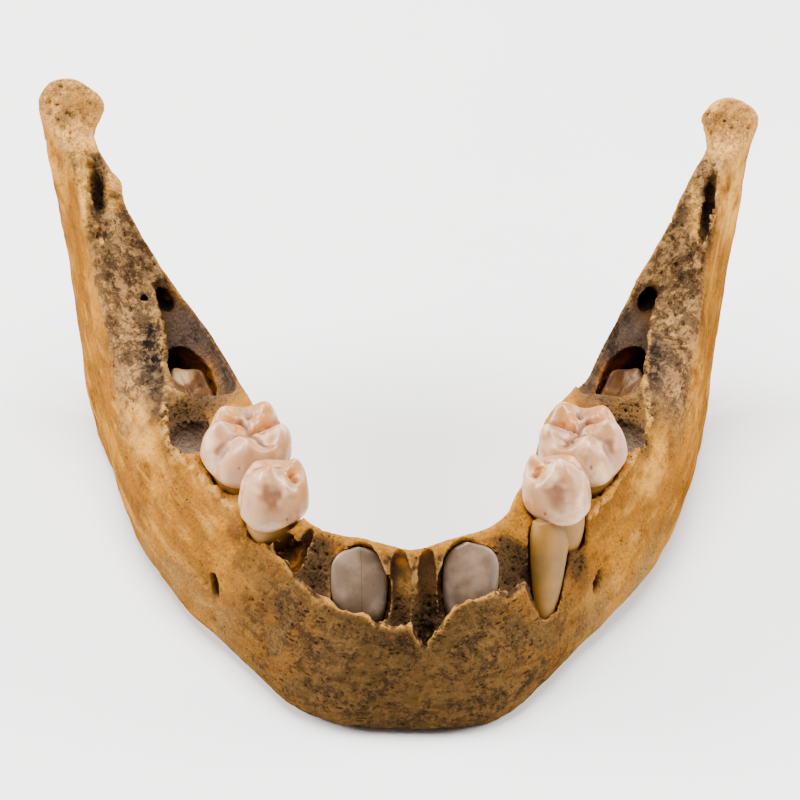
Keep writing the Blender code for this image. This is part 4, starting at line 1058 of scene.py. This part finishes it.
def bone_surface():
    """Dry bone out of the ground. Golden, streaked sides and a brown, mottled, pitted chin read as old and
    handled; rough fronts, sooty crypts and pale crumbled edges read as broken. Painted shade darkens its
    hollows, pores and openings and part of the chin's front, painted highlight pales the outer sides of the
    body and rami, painted light lifts the walls of the back hollows, and a painted glow of light through thin
    bone lies on the crypt walls. It has no gloss."""
    made, tree, at, marks = surface(
        "bone_weathered_in_soil", *MARKS, "depth", "fine_hollow", "broad_hollow", "holes", "face", "crest")
    place = add(tree, "Attribute", attribute_name="place")["Vector"]
    long_at, grain_at, notch_at, pore_at = (
        add(tree, "VectorMath", {0: place, 1: (stretch, 1, 1)}, operation="MULTIPLY")[0]
        for stretch in (0.16, 0.28, 0.4, 0.6))
    along, out, up = add(tree, "SeparateXYZ", {0: place})
    arch = add(tree, "Math", {0: along}, operation="ABSOLUTE")[0]
    unspongy = add(tree, "Math", {0: 1, 1: marks.spongy}, operation="SUBTRACT")[0]
    outer = amount(tree, (out, -1.5, 1.5))
    chin = amount(tree, (arch, 24, 11), outer)
    inside = amount(tree, (marks.depth, 0.25, 0.8))
    outside = amount(tree, (marks.depth, 0.8, 0.25))
    just_inside = (marks.depth, 0.05, 0.45)
    face = amount(tree, marks.face, outside)
    large_pores = amount(tree, specks(at, 1.5, 0.18), patches(at, 5, 0.48, 0.6))
    fine_pores = amount(tree, specks(at, 0.6, 0.12), patches(at, 3.4, 0.42, 0.58))
    chin_pores = amount(tree, chin, specks(pore_at, 0.5, 0.14), patches(at, 2.6, 0.38, 0.56))
    slits = amount(tree, chin, specks(notch_at, 0.8, 0.18), patches(at, 4, 0.38, 0.56))
    streaks = patches(grain_at, 0.6, 0.54, 0.64, 3, 0.6)
    blotches = patches(at, 1.9, 0.5, 0.57, 9, 0.75)
    mottle = patches(at, 2.6, 0.5, 0.57, 10, 0.72)
    fine_mottle = patches(at, 0.9, 0.5, 0.58, 9, 0.7)
    sponge = specks(at, 0.5, 0.16)
    height = amount(tree, patches(at, 0.4, 0.3, 0.7, 6), 0.45)
    for hollow in ((large_pores,), (fine_pores, 0.6), (chin_pores, 0.8), (slits, 0.6), (face, streaks, 0.8),
                   (face, blotches, 0.6), (marks.spongy, sponge, 1.2)):
        height = add(tree, "Math", {0: height, 1: amount(tree, *hollow)}, operation="SUBTRACT")[0]
    paint(
        tree, "#845418", [
            # The golden outside, with lengthwise streaks
            ("#A46C1C", patches(at, 9, 0.42, 0.64)),
            ("#663C12", patches(at, 4, 0.5, 0.7, 7)),
            ("#66401A", outer, patches(long_at, 1.8, 0.5, 0.64, 6), 0.6),
            ("#B4802E", outer, patches(long_at, 1.1, 0.56, 0.68, 5), 0.55),
            ("#8C5E24", fine_mottle, 0.5),
            ("#683C0E", outer, patches(long_at, 4.5, 0.5, 0.62), 0.45),
            ("#BE8A40", outer, patches(long_at, 2.6, 0.56, 0.68), 0.4),
            ("#7E6038", (arch, 14, 20), (arch, 40, 28), (up, 1, -5), patches(at, 5, 0.3, 0.6), 0.8),
            ("#5A3E20", mottle, outside, 0.3),
            # The brown chin, its darkness partly painted shade of its forward-facing front
            ("#47361F", chin, 0.92),
            ("#5E4424", chin, patches(at, 6, 0.46, 0.62), 0.7),
            ("#7A4C18", chin, (arch, 6, 15), patches(at, 4, 0.46, 0.6), 0.7),
            ("#2A2016", chin, mottle, 0.7),
            ("#2A1F14", chin, patches(notch_at, 0.8, 0.5, 0.62, 6), 0.45),
            ("#6A4C2A", chin, fine_mottle, 0.5),
            # The weathered fronts of the rami, places worn smooth, and the condyles
            ("#80603E", face, 0.85),
            ("#A8834F", face, patches(at, 1.6, 0.5, 0.6, 9, 0.7), 0.5),
            ("#3E3024", face, blotches, 0.75),
            ("#35291F", face, streaks, 0.6),
            ("#B2782A", (marks.broad_hollow, -0.15, -0.9), outside, 0.5),
            ("#E2A250", marks.condyle, 0.85),
            ("#A67A4C", marks.condyle, mottle, 0.6),
            # Broken and inner surfaces, dark with amber and grey walls and pale edges
            ("#37281D", inside, 0.85),
            ("#2E2116", marks.brown, patches(at, 1.2, 0.44, 0.54, 8, 0.65), 0.9),
            # Painted light: the glow of light through thin bone, lifting the shade of the crypt walls
            ("#C2741C", marks.amber, (marks.depth, 0.4, 1.3), patches(at, 2.4, 0.1, 0.45)),
            # Pale crumbled and worn bone, and painted highlight on the outer sides of the body and rami
            ("#E0A044", marks.pale, patches(at, 2.2, 0.3, 0.62, 7), 0.8),
            ("#B07E40", (marks.fine_hollow, -0.02, -0.1), (marks.depth, 0.03, 0.25), unspongy, 0.55),
            # Painted shade: darker in the broad hollows
            ("#281A0C", (marks.broad_hollow, 0.2, 1.6), 0.45),
            ("#463930", marks.grey, patches(at, 2.6, 0.0, 0.4), 0.95),
            ("#5A4734", marks.grey, patches(at, 1.8, 0.52, 0.6, 8), 0.6),
            ("#2A211A", marks.grey, mottle, 0.8),
            # Painted light: the back hollows' walls lightened to lift the shade in them
            ("#7C6654", marks.hollow_walls, just_inside, 0.85),
            ("#3F2E1C", marks.spongy, 0.8),
            ("#72502A", marks.spongy, marks.pale, 0.7),
            ("#AE8450", (marks.fine_hollow, -0.06, -0.2), inside, 0.65),
            ("#BC8A48", marks.crest, patches(at, 1.0, 0.4, 0.55), 0.75),
            # Grit and soot, with the holes, pores, slits and small hollows painted dark as their shade, and
            # painted deep shade just inside the openings
            # Painted shade: the spongy bone's holes darkened as if shaded inside
            ("#2A1E14", marks.spongy, sponge, 0.7),
            ("#120D09", marks.spongy, marks.holes, 0.9),
            # Painted shade: darker in the small hollows
            ("#20140A", (marks.fine_hollow, 0.04, 0.22), 0.7),
            ("#2E1F10", patches(at, 0.35, 0.5, 0.7, 5), 0.3),
            # Painted shade: the pores and slits darkened as if shaded inside
            ("#1A110A", large_pores, 0.85),
            ("#20150C", fine_pores, 0.8),
            ("#1A120C", chin_pores, 0.8),
            ("#1A110A", slits, 0.8),
            ("#171310", marks.soot, patches(at, 0.9, 0.44, 0.54, 9, 0.75), 0.95),
            # Painted shade: near-black just inside the openings
            ("#0E0A07", marks.dark, just_inside),
        ],
        Roughness=add(tree, "MapRange", {"Value": inside, "To Min": 0.6, "To Max": 0.85})["Result"],
        Normal=add(tree, "Bump", {"Height": height, "Distance": 0.24 * MM, "Strength": 0.9})[0],
        Specular_IOR_Level=0.0, Subsurface_Weight=0.04, Subsurface_Radius=(1.0, 0.4, 0.1),
        Subsurface_Scale=0.8 * MM)
    return made


def tooth_surface(name, enamel, cusps, hollows, fissures, root, root_tip, freckles, gloss, roughness):
    """Enamel over a duller root below its neck. It browns in its fissures and where stained, painted shade
    darkens its hollows and painted highlight pales its cusps, and a coat gives it soft wet highlights where
    it is clean."""
    made, tree, at, marks = surface(name, "height", "stain", "hollow", "crack", "amber")
    is_root = amount(tree, (marks.height, 0.35, -0.25))
    dull = add(tree, "Math", {0: is_root, 1: marks.stain}, operation="MAXIMUM")[0]
    ripples = add(tree, "TexNoise", {"Vector": at, "Scale": 1 / 0.5, "Detail": 3})["Fac"]
    paint(
        tree, enamel, [
            (cusps, patches(at, 3.0, 0.45, 0.7)),
            # Painted highlight: paler on the convex cusps and ridges
            (cusps, (marks.hollow, -0.03, -0.16)),
            (hollows, patches(at, 2.2, 0.55, 0.72), 0.5),
            # Painted shade: darker in the concave hollows
            (hollows, (marks.hollow, 0.0, 0.13), 0.85),
            (hollows, (marks.stain, 0.0, 0.6), patches(at, 1.0, 0.1, 0.42)),
            ("#B06E2C", marks.amber, patches(at, 1.2, 0.2, 0.5), 0.85),
            (hollows, (marks.stain, 0.4, 0.9), patches(at, 0.8, 0.36, 0.56, 6), 0.8),
            (fissures, (marks.stain, 0.7, 1.0), patches(at, 1.2, 0.34, 0.54)),
            ("#4A3020", specks(at, 2.4, 0.13), freckles),
            (fissures, (marks.crack, 0.09, 0.03), (marks.crack, 0.0, 0.001), 0.6),
            (root, is_root),
            (root_tip, (marks.height, -1.0, -6.0), patches(at, 3.0, 0.3, 0.65)),
        ],
        Roughness=add(tree, "MapRange", {"Value": dull, "To Min": roughness, "To Max": 0.6})["Result"],
        Normal=add(tree, "Bump", {"Height": ripples, "Distance": 0.05 * MM, "Strength": 0.5})[0],
        Coat_Weight=add(tree, "MapRange", {"Value": dull, "To Min": gloss, "To Max": 0.0})["Result"],
        Coat_Roughness=0.18, Specular_IOR_Level=0.3 + gloss, Subsurface_Weight=0.12,
        Subsurface_Radius=(1.0, 0.6, 0.4), Subsurface_Scale=1.0 * MM)
    return made


def dress(piece, material, node):
    piece.data.materials.clear()
    piece.data.materials.append(material)
    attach(piece, "root")
    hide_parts(node)


# Pinkish cream enamel with brown fissures over yellow roots, which catches small soft highlights
milk = tooth_surface(
    "milk_enamel_glossy_and_stained", "#A6764C", "#D8AC80", "#7C4E31", "#4A2A18", "#80550A", "#64460A",
    freckles=0.8, gloss=0.1, roughness=0.34)
# Greyish enamel that never came through the gum: clean and even, with a faint crack and a duller gloss
front_crown = tooth_surface(
    "crown_enamel_unworn", "#5E4A38", "#7C6450", "#4C3A2D", "#33241A", "#8A6A44", "#6E5638",
    freckles=0.9, gloss=0.06, roughness=0.4)
# Tan enamel browned by the soil in its crypt, with dark freckles and no coat
back_crown = tooth_surface(
    "crown_enamel_stained_in_its_crypt", "#9A7446", "#A8885C", "#5A381A", "#20140C", "#8A6A44", "#6E5638",
    freckles=1.0, gloss=0.0, roughness=0.45)
dress(bone, bone_surface(), "mandible")
for name, tooth in teeth.items():
    if "milk" in name:
        dress(tooth, milk, name)
    else:
        dress(tooth, front_crown if "incisor" in name else back_crown, name)

# The floor, light and camera, placed in metres
FLOOR_SIZE = 3.0
FLOOR_AT = (0, 0.4, 0)
bpy.ops.object.select_all(action="DESELECT")
bpy.ops.mesh.primitive_plane_add(size=FLOOR_SIZE, location=FLOOR_AT)
floor = bpy.context.object
floor.name = "floor"
# Matt white card, faintly cloudy, so that the shadow under the jaw stays soft and plain
made, tree, at, _ = surface("paper_matte_white")
paint(tree, "#F2F1EF", [("#F5F4F2", patches(at, 60, 0.4, 0.6))], Roughness=0.9)
floor.data.materials.append(made)

WORLD_LIGHT = 0.16
# Each lamp: its place, its size and its power in watts
LIGHTS = {
    "above": ((-0.04, 0.06, 0.70), 0.45, 16.0),
    "left": ((-0.60, 0.08, 0.30), 0.30, 11.0),
    "right": ((0.60, 0.08, 0.30), 0.30, 9.0),
}
LIT_AT = Vector((0, 0, 0.02))
world = bpy.data.worlds.new("studio")
world.use_nodes = True
bpy.context.scene.world = world
background = world.node_tree.nodes["Background"].inputs
background["Color"].default_value = (1, 1, 1, 1)
background["Strength"].default_value = WORLD_LIGHT
for name, (place, size, power) in LIGHTS.items():
    lamp = bpy.data.lights.new(name, "AREA")
    lamp.energy, lamp.size = power, size
    holder = placed(name, lamp)
    holder.location = place
    holder.rotation_euler = (LIT_AT - Vector(place)).to_track_quat("-Z", "Y").to_euler()

elevation = math.radians(CAMERA_ELEVATION)
lens = bpy.data.cameras.new("camera")
lens.lens, lens.sensor_width, lens.clip_start = CAMERA_LENS, SENSOR_WIDTH, 0.01
camera = placed("camera", lens)
back = Vector((0, -math.cos(elevation), math.sin(elevation)))
camera.location = TO_FRAME @ CAMERA_AIM + back * CAMERA_DISTANCE * MM
camera.rotation_euler = (math.pi / 2 - elevation, 0, 0)
bpy.context.scene.camera = camera
